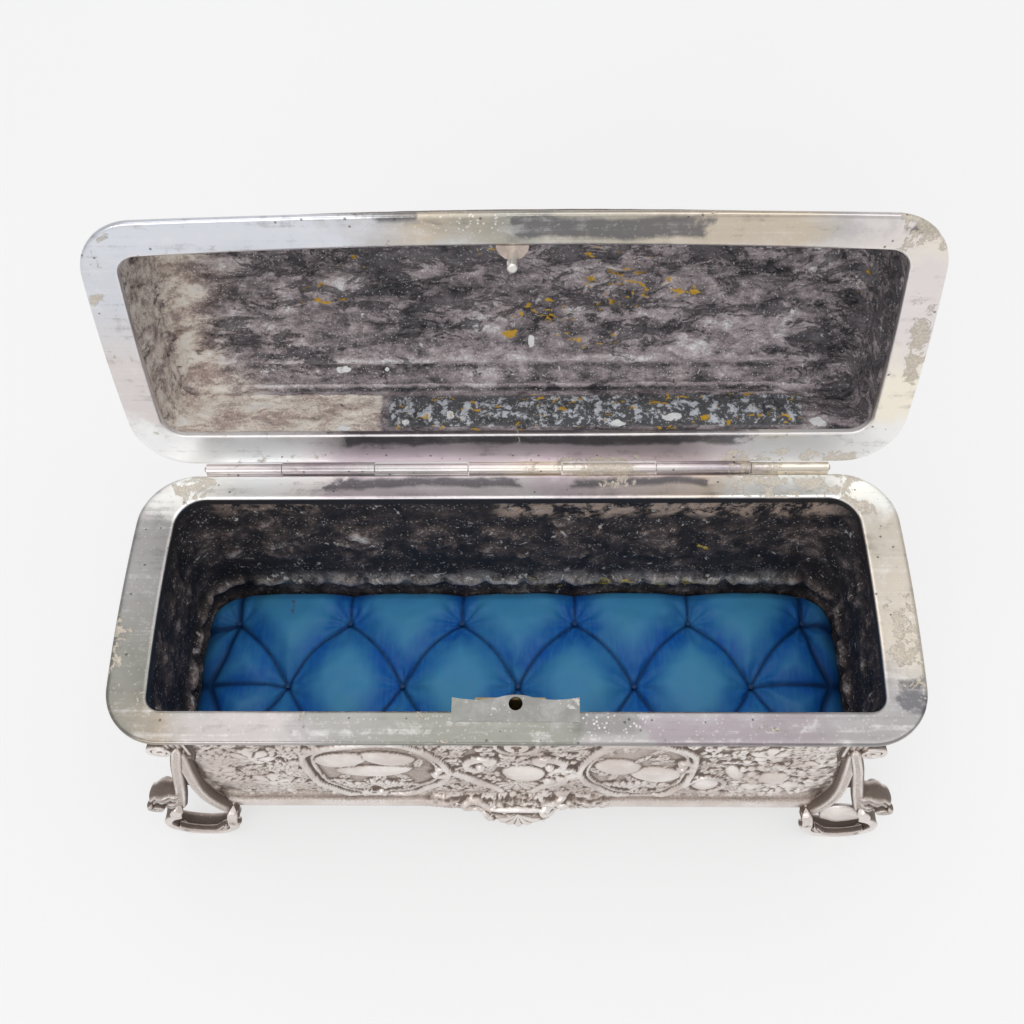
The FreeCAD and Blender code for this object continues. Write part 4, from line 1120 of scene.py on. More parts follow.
# %% Body inside
INSIDE_COUNTS = (170, 16, 56, 170)
INSIDE_FRONT, INSIDE_BACK = -77.8, -8.4
BACK_LEAN = 4.6  # how far the back comes in on its way down
BEAD_LEVEL, BEAD_PITCH, BLOCK_LEVEL, BLOCK_PITCH = -48.6, 13.0, -27.0, 23.0


def cavity(front, back):
    return outline(103.6, front, back, (14.0, 14.0), INSIDE_COUNTS)


inner_place = places_along(cavity(INSIDE_FRONT, INSIDE_BACK))[0]
levels = [(-2.2, 0.0), (-3.0, 0.0)] + [(z, (z + 3) / -44.0) for z in np.linspace(-4, -47, 44)]
levels += [(z, 1.0) for z in (-47.6, -48.3, -49.0, -49.8, -50.6, -51.4, -52.6, -56, -69.0)]
rows, high_rows = [], []
for z, lean in levels:
    points = cavity(INSIDE_FRONT + lean, INSIDE_BACK - BACK_LEAN * lean)
    into = -outward(points)
    on_bead = hill(z - BEAD_LEVEL, 2.3)
    bead = 2.3 * on_bead if z > -53 else 0.9
    segments = 1.5 * np.abs(np.cos(inner_place / BEAD_PITCH * math.pi)) ** 12 * on_bead
    block_u, block_v = np.mod(inner_place, BLOCK_PITCH) - BLOCK_PITCH / 2, (z - BLOCK_LEVEL) / 9.0
    relief = (
        0.5 * np.clip(1.15 - np.maximum(np.abs(block_u) / 8.5, abs(block_v)) ** 6, 0, 1)
        * (abs(block_v) < 1.1)
    )
    rough = 0.20 * lumps(inner_place * 0.6, z, 3.4, 11) + 0.24 * lumps(inner_place * 0.8, z, 1.9, 12)
    rough = rough + 0.20 * lumps(inner_place, z, 1.1, 13)
    top = rise(z, -3.5, -3)
    off = bead - segments + (rough * 1.6 + relief * 1.5) * top + 0.2 * rough * (1 - top)
    rows.append(at_level(points + into * np.maximum(off, 0.0)[:, None], z))
    high_rows.append(np.clip(off, 0, 1.6))
high_marks = {"high": high_rows}
skin(
    "body_inside", [(rows, True, False)], "casket", inside, ["body_shell"],
    marks=high_marks
)

# %% [markdown]
# ## The lid
# The lid's outside has a band of tongues above the rim, a bead, and a low crown with a framed
# field and scrolls, drawn on a flat map seen from above. The inside shows the casting's back: the
# same tongues in reverse, two mouldings and a coarse top.

# %% Lid crown map
crown = Relief((-100, -74), (100, -13), 0.3)
CROWN_Y = -42.4
ground_leaves(crown, (-99, 99), (-73, -14), 900, 61, 0.8)
for side in (-1, 1):
    outwards = 0 if side > 0 else math.pi
    for y_side in (-1, 1):
        spray(crown, side * 52, CROWN_Y + y_side * 9, outwards + y_side * side * 0.25, 30, 1.5, 7, 1.6)
        scroll(crown, side * 38, CROWN_Y + y_side * 14, 34, 0.0, 1.3, 1.8, 4.4 * y_side)
        flower(crown, side * 84, CROWN_Y + y_side * 13, 6.0, 1.6, 6)
    shell(crown, side * 44, CROWN_Y, outwards, 14, 1.7, 7)
    boss(crown, side * 72, CROWN_Y, (6.5, 4.2), 1.8, 0.0, 0.6)
pressed(crown, oval_line(0, CROWN_Y, 27, 16), 0.3)
ridge(crown, oval_line(0, CROWN_Y, 27, 16, 97), 1.3, 1.8)
ridge(crown, oval_line(0, CROWN_Y, 23.5, 13, 97), 0.5, 0.9)
spray(crown, -4, CROWN_Y, 0.0, 17, 1.3, 7, 2.4)
spray(crown, 4, CROWN_Y, math.pi, 17, 1.3, 7, 2.4)
flower(crown, 0, CROWN_Y, 7.0, 1.8, 8)
crown_dirt = crown.dirt()
print("crown map highest", round(crown.height.max(), 2), "mm")


# %% Lid skins
LID_WALL, LID_HIGH, LID_BOTTOM = 2.2, 24.0, 2.075  # the lid stands on its rim
TONGUE_PITCH = 5.6
LID_COUNTS = (270, 12, 80, 270)
lid_line = lid_opening(1.0, LID_COUNTS)
lid_place, lid_out = places_along(lid_line)[0], outward(lid_line)


def tongues(place, up):
    """A band of tongues with darts between, 0 to 1 high."""
    p = np.mod(place, TONGUE_PITCH) / TONGUE_PITCH - 0.5
    q = (up - 0.5) * 2
    tongue = np.clip(1 - (p / 0.36) ** 2 - (q / 0.82) ** 2, 0, 1) ** 0.5
    dart = np.clip(1 - (np.abs(np.abs(p) - 0.5) / 0.09) - abs(q) * 0.7, 0, 1)
    return np.maximum(tongue, dart * 0.8) if abs(q) < 1 else 0.0 * p


def spots(x, y, places):
    """A map that is 1 at each place and falls to 0 at twice its size."""
    high = np.zeros(len(x))
    for px, py, half_x, half_y in places:
        gap = np.hypot((x - px) / half_x, (y - py) / half_y)
        high = np.maximum(high, np.clip(1 - gap / 2, 0, 1))
    return high


# Spots on the crown: soot blots, and the long spot at the right end carries on the painted shade of the right
# wall.
SOOT_AND_SHADE = [
    (-78, -32, 9, 8), (-46, -44, 16, 4), (-22, -40, 14, 5), (-30, -58, 30, 7), (8, -62, 30, 8),
    (20, -42, 22, 4)
]
SOOT_AND_SHADE += [
    (60, -60, 26, 9), (40, -33, 14, 3), (101, -45, 7, 40), (88, -22, 6, 14), (-62, -24, 10, 3),
    (70, -40, 16, 3)
]
CHALK = [
    (-51.2, -21, 1.9, 1.1), (-56, -14.5, 1.0, 0.8), (4.8, -29.3, 1.0, 1.9), (-38, -21, 0.9, 0.7),
    (84, -60, 1.0, 0.8)
]
WALL_CHALK = [
    (-50, 1.6, 2.2, 0.9), (-32, 3.6, 1.3, 0.9), (-19, 6, 1.0, 2.0), (30, 3, 2.4, 1.0),
    (46, 5, 3.0, 1.2), (88, 3, 2.4, 1.8)
]
OCHRE = [
    (33, -48, 7, 7), (22, -54, 3, 4), (10, -40, 9, 2.4), (27, -41, 5, 1.6), (-55, -44, 4, 3),
    (-44, -57, 3, 2), (48, -46, 6, 1.4)
]
OCHRE += [(21, -30, 6, 1.6), (99, -50, 3, 3), (-8, -62, 4, 2), (-1, -33, 2, 1.4)]


def hollow_row(points, up, t, way):
    """A row of the lid's inside: tongues in reverse, two mouldings and lumps, with its stains and painted
    shade.
    """
    x, y, behind = points[:, 0], points[:, 1], LID_BACK - points[:, 1]
    wall_share, on_crown = t / way[1], rise(t, way[4], 4.0)
    at_hinge = rise(y, -17.5, 1.5) * (wall_share < 1.06)
    bare = rise(x, -38, 1.5) * rise(x, 85, -2)
    pattern = tongues(lid_place, wall_share * 1.25 - 0.22) * bare
    rough = 0.26 * lumps(lid_place, t, 4.5, 71) + 0.24 * lumps(lid_place, t, 2.0, 72)
    rough = rough + 0.2 * lumps(lid_place, t, 1.1, 77)
    deep = (
        0.50 * lumps(x * 0.6, y, 8, 73) + 0.42 * lumps(x * 0.7, y, 3.8, 74)
        + 0.30 * lumps(x, y, 1.9, 75)
    )
    deep = 1.25 * deep + 0.22 * lumps(x, y, 1.0, 78)
    lines = sum(tall * hill(up - h, wide) for h, tall, wide in ((14.9, 0.3, 0.3), (16.6, 0.5, 0.4)))
    lines = lines * np.clip((y + 30) / 6, 0.25, 1) * np.clip((86 - np.abs(x)) / 6, 0.25, 1)
    ledge = 0.9 * hill(behind - 10.6, 0.8) * rise(np.abs(x), 90, -4) * on_crown
    move = 0.8 * pattern + rough * (1 - 0.7 * on_crown) + lines
    low = -deep * on_crown * np.clip((-y - 20) / 6, 0.35, 1) - ledge
    tan_wall = at_hinge * np.clip((-37.5 - x + 1.5 * lumps(x, up, 3, 80)) / 2, 0, 1) * rise(x, -104, 4)
    tan_wall = tan_wall * (1.0 - 0.35 * rise(x, -70, 30) * (0.5 + 0.5 * lumps(x, up, 6, 82)))
    tan_crown = np.clip((-74 - x + 6 * lumps(x, y, 11, 79)) / 26, 0, 0.62) + 0.2 * rise(x, -40, -30)
    # On the wall the soot mark is painted shade: a wide dark zone at the right end and a thin strip under the
    # overhang at the left.
    soot = np.where(t < way[4], 1.3 * rise(x, 86, 8) + 0.4 * (x < -95), spots(x, y, SOOT_AND_SHADE) * 1.6)
    # Painted shade: a dark line just under the upper moulding and a darker strip beside the ledge; the raised
    # ledge and mouldings are painted lighter.
    shade_under_moulding = 0.6 * hill(up - 15.8, 0.35) * np.clip((80 - np.abs(x)) / 5, 0.0, 1)
    shade_beside_ledge = hill(behind - 8.8, 1.0) * on_crown * 0.35 * rise(np.abs(x), 80, -5)
    return at_level(points - lid_out * move[:, None], up + LID_BOTTOM + low), {
        "dirt": np.clip(
            0.40 + deep * on_crown * 0.5 + shade_under_moulding + shade_beside_ledge - 1.4 * ledge - lines, 0, 1.6
        ),
        "high": pattern * 1.5 - 0.4,
        "tan": np.maximum(tan_wall, tan_crown * (1 - 0.6 * soot)),
        "soot": soot,
        "crust": at_hinge * bare * rise(wall_share, 0.12, 0.04) * rise(wall_share, 1.04, -0.03),
        "chalk": np.where(t < way[3], spots(x, up, WALL_CHALK) * at_hinge, spots(x, y, CHALK)),
        "ochre": np.where(t < way[4], 0.3 * at_hinge * bare, spots(x, y, OCHRE) * 1.5),
    }


def outer_row(points, up, t, way):
    """A row of the lid's outside: tongues on the wall, then the crown's map."""
    x, y = points[:, 0], points[:, 1]
    wall_share, on_crown = t / way[1], rise(t, way[4], 4.0)
    band = tongues(lid_place, wall_share) if wall_share < 1 else np.zeros(len(points))
    high = crown.read(crown.height, x, y) * on_crown
    sideways = 0.8 * band + 0.05 * lumps(lid_place, t, 4, 76) + 0.45 * high * (1 - t / way[-1])
    dirt = np.where(on_crown > 0.5, crown.read(crown_dirt, x, y), np.clip(0.62 - band * 0.6, 0, 1))
    return at_level(points + lid_out * sideways[:, None], up + LID_BOTTOM + 0.4 * high), {"dirt": dirt}


# %% Lid pieces
def lid_rows(thickness, inside):
    """Rows of the lid from the rim up the wall, over the shoulder and across the crown."""
    heights = np.array([0.0, 0.60, 0.64, 0.70, 0.74, 0.84, 0.92, 0.97, 1.0]) * (LID_HIGH - thickness)
    grows = np.array([2.7, 0.2, -0.3, -0.3, -1.2, -3.0, -8.0, -16.0, -22.0]) - thickness
    way = np.concatenate([[0], np.cumsum(np.hypot(np.diff(heights), np.diff(grows)))])
    lines = []
    for t in np.linspace(0, way[-1], 96 if inside else 74):
        lines.append((lid_opening(np.interp(t, way, grows), LID_COUNTS), np.interp(t, way, heights), t))
    last = lines[-1][0]
    spine = at_level(np.clip(last[:, 0], -68, 68), CROWN_Y)
    for t in np.linspace(0.05, 1, 26):
        lines.append((last * (1 - t) + spine * t, heights[-1] + (0 if inside else 0.35 * t), way[-1]))
    grid, marks = [], {}
    for line in lines:
        row, values = (hollow_row if inside else outer_row)(*line, way)
        grid.append(row)
        for mark, value in values.items():
            marks.setdefault(mark, []).append(value)
    return grid, marks


for name, thickness, finish in (("lid_relief", 0.0, cast), ("lid_inside", LID_WALL, lid_inside)):
    rows, marks = lid_rows(thickness, thickness > 0)
    skin(name, [(rows, True, thickness > 0)], "lid", finish, ["lid_shell"], True, marks)

# %% [markdown]
# ## Sweeps for the feet
# A foot is an openwork casting: a block under the rim, a leaning strap, a curling leaf and a loop
# that stands on the table. Each is a bar with a shaped section, so one sweep makes them all. The
# section's first value lies across the bar and its second in the depth of the casket.

# %% Sweep
def drawn_together(row):
    """A row whose points all lie at its middle, to close an end."""
    return np.tile(row.mean(0), (len(row), 1))


def sweep(path, across, deep, section, dirt):
    """Rows of a closed bar along a line, its ends drawn together, and their marks of dirt and painted shade.
    """
    path = np.asarray(path, float)
    along = np.gradient(path, axis=0)
    along /= np.linalg.norm(along, axis=1)[:, None]
    side = np.cross(along, (0.0, 1.0, 0.0))
    side /= np.linalg.norm(side, axis=1)[:, None]
    wide = np.broadcast_to(across, len(path))[:, None] * section[:, 0]
    thick = np.broadcast_to(deep, len(path))[:, None] * section[:, 1]
    grid = path[:, None] + side[:, None] * wide[:, :, None] + np.array([0, 1.0, 0]) * thick[:, :, None]
    marks = np.tile(dirt, (len(path), 1))
    grid = np.array([drawn_together(grid[0]), *grid, drawn_together(grid[-1])])
    return grid, np.vstack([marks[:1], marks, marks[-1:]])


def rounded(count, square):
    """A bar's section, between a square and a round one."""
    t = np.linspace(0, 2 * math.pi, count, endpoint=False)
    c, s = np.cos(t), np.sin(t)
    return np.sign(c) * np.abs(c) ** square, np.sign(s) * np.abs(s) ** square


def ribbed(ribs, count, square, groove):
    """A section with ridges along its front and back, and its marks of dirt and painted shade."""
    a, b = rounded(count, square)
    wave = 0.5 - 0.5 * np.cos(2 * math.pi * ribs * (a + 1) / 2)
    return (
        np.column_stack([a, b * (1 - groove + groove * wave)]),
        np.clip(0.85 - wave * np.abs(b) * 0.8, 0.1, 0.9)
    )


def gutter():
    """A section with a hollow between two raised edges, and its marks of dirt and painted shade."""
    a, b = rounded(34, 0.5)
    return (
        np.column_stack([a * (0.5 + 0.5 * np.abs(b) ** 3), b]),
        np.clip(0.85 - 0.8 * np.abs(b) ** 3, 0.1, 0.9)
    )


def curve(points, count):
    """A smooth line through a few places."""
    p = np.asarray(points, float)
    p = np.vstack([2 * p[0] - p[1], p, 2 * p[-1] - p[-2]])
    gaps = len(p) - 3
    return np.vstack([*(stretch(max(4, count // gaps), *p[k : k + 4]) for k in range(gaps)), p[-2:-1]])


# %% [markdown]
# ## The feet
# All four feet share one drawing, made for the front right one and mirrored. A hollow band runs
# in a loop from the knee to the body's corner, a lobed leaf curls over at the knee, and a strap and
# a side band climb to a fluted block with a small rolled scroll beside it. The loops of the right
# feet are nearly closed by a smooth oval, as the photograph shows.

# %% Foot parts
LOOP_CENTRE = (101.3, -74.6)
KNEE = [
    (101.8, -82.8, -51.6), (104.6, -82.9, -50.8), (108.4, -83.0, -51.8), (111.4, -83.2, -54.8),
    (112.3, -83.4, -59.0)
]
UNDER_KNEE = [
    (104.4, -83.6, -59.0), (107.4, -83.4, -58.4), (110.2, -83.2, -60.2), (111.2, -83.2, -64.0)
]
OVAL_FILL = [
    (94.6, -83.4, -71.5), (98.0, -83.9, -70.6), (101.5, -84.1, -70.4), (105.0, -83.9, -71.0),
    (108.0, -83.4, -72.0)
]
SIDE_BAND = [
    (92.2, -81.8, -13.0), (94.4, -82.0, -30.0), (95.8, -82.3, -46.0), (95.2, -82.6, -57.0),
    (92.6, -83.0, -65.5), (89.4, -83.4, -69.5)
]
STRAP = [
    (91.8, -82.6, -9.0), (95.6, -82.9, -23.0), (98.8, -83.0, -37.0), (101.8, -83.3, -50.0),
    (104.8, -84.0, -61.0)
]


def spiral(centre, radii, angles, y, count):
    t = np.linspace(0, 1, count)
    r = radii[0] + (radii[1] - radii[0]) * t
    a = np.radians(angles[0] + (angles[1] - angles[0]) * t)
    return np.column_stack([centre[0] + r * np.cos(a), np.full(count, y), centre[1] + r * np.sin(a)])


def lobed(count, lobes, lowest):
    """A width that grows and shrinks along a leaf, with a lobed edge."""
    t = np.linspace(0, 1, count)
    return (lowest + (1 - lowest) * np.sin(math.pi * t**0.7)) * (
        0.78 + 0.22 * np.abs(np.sin(lobes * math.pi * t))
    )


def foot_parts(closed):
    """Patches of one foot in the place of the front right one."""
    band, leafy, bar = gutter(), ribbed(3, 40, 0.8, 0.4), ribbed(2, 26, 0.6, 0.45)
    parts = []

    def add(path, across, deep, kind, lobes=None, dirt=None):
        """Adds a bar: a pair of widths runs from one to the other, and lobes swell its depth."""
        section, marks = kind
        if isinstance(across, tuple):
            across = np.linspace(*across, len(path))
        if lobes:
            deep = deep * lobed(len(path), lobes, 0.5)
        parts.append(
            sweep(path, across, deep, section, marks if dirt is None else np.full(len(section), dirt))
        )

    loop = spiral(LOOP_CENTRE, (10.3, 10.3), (62, -188), -84.9, 84)
    flare = curve([loop[-2], (90.4, -84.4, -69.6), (89.6, -83.6, -66.4)], 12)
    line = np.vstack(
        [curve([(104.8, -84.4, -60.0), (106.6, -84.8, -63.4), loop[1]], 8), loop[2:-3], flare]
    )
    share = np.linspace(0, 1, len(line))
    wide = 1.75 + 0.6 * hill(share - 0.04, 0.07) + 0.8 * hill(share - 0.9, 0.09)
    add(line, wide + 0.22 * np.sin(share * 40), 3.2, band)
    inner = spiral(LOOP_CENTRE, (8.2, 7.6), (-20, -170), -87.0, 50)
    add(inner, 0.8 * lobed(len(inner), 5, 0.5), 1.1, bar)
    add(curve(KNEE, 40), (2.1, 1.3), 4.4, leafy, 3.5)
    add(spiral((110.6, -57.2), (2.6, 0.8), (60, -330), -86.2, 36), 0.75, 1.5, bar)
    add(curve(UNDER_KNEE, 30), (1.9, 1.0), 3.7, leafy, 2.5)
    for x, z, turn, long in (
        (91.4, -70.5, -2.0, 5.5), (93.6, -78.0, -0.9, 6.0), (109.0, -79.5, -2.2, 5.5)
    ):
        way = np.array([math.cos(turn), 0, math.sin(turn)]) * long
        root = np.array([x, -86.2, z])
        blade = curve([root, root + way * 0.5 + (0.6, -0.9, 0.4), root + way], 16)
        add(blade, 1.5 * lobed(len(blade), 2, 0.45), 1.3, leafy)
    if closed:
        fill = curve(OVAL_FILL, 24)
        add(fill, 8.6 * lobed(len(fill), 1, 0.55), 2.0, ribbed(1, 30, 1.0, 0.04), dirt=0.12)
    add(curve(SIDE_BAND, 50), (2.0, 1.7), 2.3, bar)
    add(curve(STRAP, 44), (1.7, 2.1), 2.0, bar)
    add(
        curve([(93.4, -81.2, -20.0), (96.2, -81.4, -34.0), (98.4, -81.6, -47.0)], 20), (1.4, 2.6), 1.2,
        bar, dirt=0.8
    )
    add(spiral((96.6, -10.8), (3.9, 0.7), (120, -560), -80.4, 70), 1.0, 3.3, band)
    add([(96.6, -80.2, -10.8), (96.7, -80.2, -10.9)], 2.8, 2.9, band, dirt=0.8)
    return parts


# %% Feet
def block_part():
    """The fluted block of a foot, as rows going down."""
    t = np.linspace(0, 1, 49)
    rows, marks = [], []
    for z in np.concatenate(
        [[-3.1], np.linspace(-3.1, -14.8, 12), np.linspace(-15.2, -19.1, 14), [-19.1]]
    ):
        mould = 0.9 * hill(z + 16.2, 0.8) + 0.5 * hill(z + 18.2, 0.6)
        flute = np.abs(np.sin(4 * math.pi * t)) ** 0.7 * (z > -15) * 0.8
        narrow = 0.6 * rise(z, -3.1, -16)
        x = 88.6 + narrow + (6.6 - 2 * narrow) * t
        front = np.column_stack([x, -83.1 + 0.6 * (t > 0) - flute * 0.6 - mould, np.full_like(t, z)])
        back = front[::-1].copy()
        back[:, 1] = -78.1
        rows.append(np.vstack([front, back]))
        marks.append(
            np.concatenate([0.75 - 0.7 * flute - 0.4 * mould + 0.2 * (z < -15), np.full(len(t), 0.6)])
        )
    for end in (0, -1):
        rows[end] = drawn_together(rows[end])
    return np.array(rows), np.clip(marks, 0.05, 0.95)


def make_foot(node, side, end):
    """Mirrors the drawing to one corner; side and end are 1 for right and front."""
    patches, marks = [], []
    for grid, dirt in [*foot_parts(side > 0), block_part()]:
        g = np.array(grid)
        g[..., 0] *= side
        g[..., 1] = g[..., 1] if end > 0 else FRONT + BACK - g[..., 1]
        g[..., 2] = np.clip(
            g[..., 2] + 0.12 * lumps(g[..., 0] * 1.7, g[..., 2] * 1.3, 2.4, 81), TABLE + 0.02, -2.3
        )
        patches.append((g, True, side * end < 0))
        marks.append(dirt)
    skin("scroll_" + node, patches, "casket", cast, [node], marks={"dirt": marks})


for end, where in ((1, "front"), (-1, "back")):
    for side, hand in ((1, "right"), (-1, "left")):
        make_foot(f"foot_{where}_{hand}", side, end)

# %% [markdown]
# ## The aprons
# Under the middle of the front and back hangs a small ornament: a shell with scrolls that thin out
# to both sides. It is one closed skin with its own height map on the face.

# %% Apron
plaque = Relief((-30, -81), (30, -64), 0.25)
ground_leaves(plaque, (-28, 28), (-78, -65), 60, 91)
for side in (-1, 1):
    scroll(plaque, side * 12, -70, 17, side * 0.18, 1.1, 1.9, 4.6 * side)
    scroll(plaque, side * 20, -68.2, 13, side * -0.1, 0.8, 1.4, -4.6 * side)
    spray(plaque, side * 8, -74.5, math.pi / 2 - side * 1.2, 8, 1.5, 5, 1.8)
    ridge(plaque, [(side * 28, -66.6), (side * 12, -67.2), (0, -66.2)], 0.8, 1.3)
shell(plaque, 0, -68.0, -math.pi / 2, 9.6, 2.0, 6)
boss(plaque, 0, -78.2, (1.3, 1.3), 1.8)
plaque_dirt = plaque.dirt()


def apron_skin(where, end):
    rows, marks = [], []
    for x in np.linspace(-28, 28, 190):
        middle = max(0.0, 1 - (x / 11.6) ** 2) ** 0.6
        scallop = 0.9 * abs(math.sin(x * 0.46)) * min(1.0, (28 - abs(x)) / 4)
        low = -68.2 - 3.6 * (1 - (x / 28) ** 2) - scallop - 6.6 * middle
        z = np.linspace(-65, max(low, -79.4), 44)
        face = -82.2 - 4.1 * middle * np.sin(rise(z, -82, 17) * math.pi) ** 0.5
        edge = np.clip((z - z[-1]) / 0.9, 0, 1) ** 0.5 * rise(abs(x), 28.2, -1.0)
        out = face - plaque.read(plaque.height, x, z) * edge + 1.2 * (1 - edge)
        back = [(x, -79.6, z[-1]), (x, -79.2, (z[-1] - 65) / 2), (x, -79.2, -65)]
        rows.append(np.vstack([np.column_stack([np.full_like(z, x), out, z]), back]))
        marks.append(np.concatenate([plaque.read(plaque_dirt, x, z), np.full(len(back), 0.6)]))
    grid = np.array([drawn_together(rows[0]), *rows, drawn_together(rows[-1])])
    marks = [marks[0], *marks, marks[-1]]
    if end < 0:
        grid[..., 1] = FRONT + BACK - grid[..., 1]
    patches = [(grid, True, end > 0)]
    skin(
        f"{where}_ornament", patches, "casket", cast, [f"{where}_apron"],
        marks={"dirt": marks}
    )


apron_skin("front", 1)
apron_skin("back", -1)

# %% [markdown]
# ## Blue satin
# Satin is smooth and slightly directional: broad soft painted highlights on the crowns and painted deep navy
# shade in the folds and towards the front and the ends. A fine weave bump, long threads and a faint mottling
# keep it from looking like plastic, and one brown stain sits near the left end.

# %% Satin finish
STAIN = (-75.2, -74.1, -1.6, 3.6)


def satin():
    f = Finish("blue satin", 0.0, 0.4)
    f.set("Sheen Weight", 0.14)
    f.set("Sheen Roughness", 0.35)
    f.set("Sheen Tint", (0.25, 0.68, 0.90))
    f.set("Specular IOR Level", 0.22)
    mottle = f.noise(60.0, 4.0, 0.6)
    threads = f.noise(900.0, 2.0, 0.5, 0.0, (1, 0.08, 1))
    deep = f.mark("dirt")
    # Painted highlight: the crown mark, high on the pillows away from the folds, makes the blue lighter and
    # greener there.
    crown = f.band(f.mark("crown") + (mottle - 0.5) * 0.35, 0.0, 1.05)
    f.colour = f.mix(crown, (0.007, 0.110, 0.46), (0.060, 0.285, 0.56))
    f.coat(f.band(mottle, 0.40, 0.64) * 0.30, (0.075, 0.33, 0.47))
    f.coat(f.band(threads, 0.35, 0.75) * 0.22, (0.04, 0.33, 0.56))
    # Painted shade: deep navy along the folds and towards the pad's front edge and ends.
    f.coat(f.band(deep, 0.15, 1.0) * 0.92, (0.002, 0.024, 0.10))
    stain = f.field(f.axis("X"), f.axis("Y"), STAIN, 0.0005) * f.band(f.noise(600.0, 4.0), 0.42, 0.52)
    f.coat(stain * 0.75, (0.12, 0.06, 0.03))
    f.set("Base Color", f.colour)
    f.set("Roughness", 0.40 + mottle * 0.12 + deep * 0.2)
    weave = f.grain(1900.0) * 0.5 + threads * 0.8
    f.bumps(weave * 0.35 + f.noise(210.0, 4.0, 0.6) * 0.8, 0.00012, 0.7)
    return f.material


blue_satin = satin()

# %% [markdown]
# ## The tufted cushion
# The pad is a crowned closed form. Threads pull it down in three staggered rows, and the satin
# folds along lines between the tufts and runs in straight pleats from the outer rows to the edge.
# The folds are arched a little round each pillow. The mesh is coarse at first, is subdivided once,
# and then sharp folds and puckers, finer than its squares, are pressed into it.

# %% Pad shape
PAD_HALF, PAD_FRONT, PAD_BACK, PAD_LOW, PAD_HIGH = 103.2, -76.4, -14.7, -66.9, -52.1
PAD_RADIUS, PAD_MIDDLE, TUFT_MIDDLE = 14.0, (PAD_FRONT + PAD_BACK) / 2, -47.7
outer_rows = [(x, y) for y in (-69.5, -25.9) for x in (-92.7, -55.62, -18.54, 18.54, 55.62, 92.7)]
middle_row = [(x, TUFT_MIDDLE) for x in (-74.16, -37.08, 0.0, 37.08, 74.16)]
tufts = np.array(outer_rows + middle_row)
print(len(tufts), "tufts")


def folds():
    """Lines from tuft to tuft and from the outer tufts to the edges, with arch and depth."""
    lines = []
    for x, y in middle_row:
        for ox, oy in outer_rows:
            if abs(ox - x) < 20:
                lines.append(
                    ((x, y), (ox, oy), 1.7 * (1 if ox > x else -1) * (1 if oy > y else -1), 4.6)
                )
    for x, y in outer_rows:
        inward = 1 if y < TUFT_MIDDLE else -1
        lines.append(((x, y), (x, PAD_FRONT if inward > 0 else PAD_BACK), 0.0, 4.4))
        if abs(x) > 90:
            lines.append(((x, y), (math.copysign(PAD_HALF, x), y + 3 * inward), 0.6, 3.8))
            lines.append(
                ((x, y), (math.copysign(99.5, x), TUFT_MIDDLE), math.copysign(1.5, x) * inward, 2.4)
            )
    for x, y in middle_row[:1] + middle_row[-1:]:
        lines.append(((x, y), (math.copysign(PAD_HALF, x), y), 0.0, 3.2))
    return lines


def pad_top(x, y):
    """How far the satin lies below its crown, and how far each place is from a fold."""
    down = np.zeros_like(x)
    near = np.full_like(x, 99.0)
    for (ax, ay), (bx, by), arch, depth in folds():
        dx, dy = bx - ax, by - ay
        long = math.hypot(dx, dy)
        t = np.clip(((x - ax) * dx + (y - ay) * dy) / long**2, 0, 1)
        nx, ny = -dy / long, dx / long
        off = (x - ax - t * dx) * nx + (y - ay - t * dy) * ny - arch * np.sin(math.pi * t)
        past = np.hypot(x - ax - t * dx, y - ay - t * dy)
        gap = np.where((t > 0) & (t < 1), np.abs(off), past)
        middle = 1 - 0.45 * np.sin(math.pi * t)
        down = np.maximum(down, depth * middle * hill(gap, 6.5))
        near = np.minimum(near, gap / (0.7 + 0.5 * middle))
    for tx, ty in tufts:
        down = np.maximum(down, 6.4 * np.exp(-np.hypot(x - tx, y - ty) / 4.2))
    return down, near


def pad_creases(x, y, near):
    """Sharp folds, puckers that run out from the tufts, and slack in the satin; in millimetres."""
    crease = 1.0 * np.exp(-near / 0.65)
    for k, (tx, ty) in enumerate(tufts):
        gap, angle = np.hypot(x - tx, y - ty), np.arctan2(y - ty, x - tx)
        waves = np.abs(np.sin(angle * 4.5 + 1.7 * k + 0.8 * lumps(x, y, 6, 95 + k))) ** 2.0
        crease += 0.85 * waves * hill(gap - 4.5, 4.6)
    slack = 0.32 * lumps(x + 0.5 * y, y * 0.6, 9, 96) + 0.16 * lumps(x - 0.7 * y, y + 0.4 * x, 3.6, 97)
    return crease + slack


def pad_edge_height(inward):
    """The satin's rounded edge: how high it stands a distance in from the outline."""
    return (
        np.interp(inward, [0.0, 1.0, 3.4, 11.0, 20.0], [0.66, 0.76, 0.88, 0.96, 1.0])
        * (PAD_HIGH - PAD_LOW)
    )


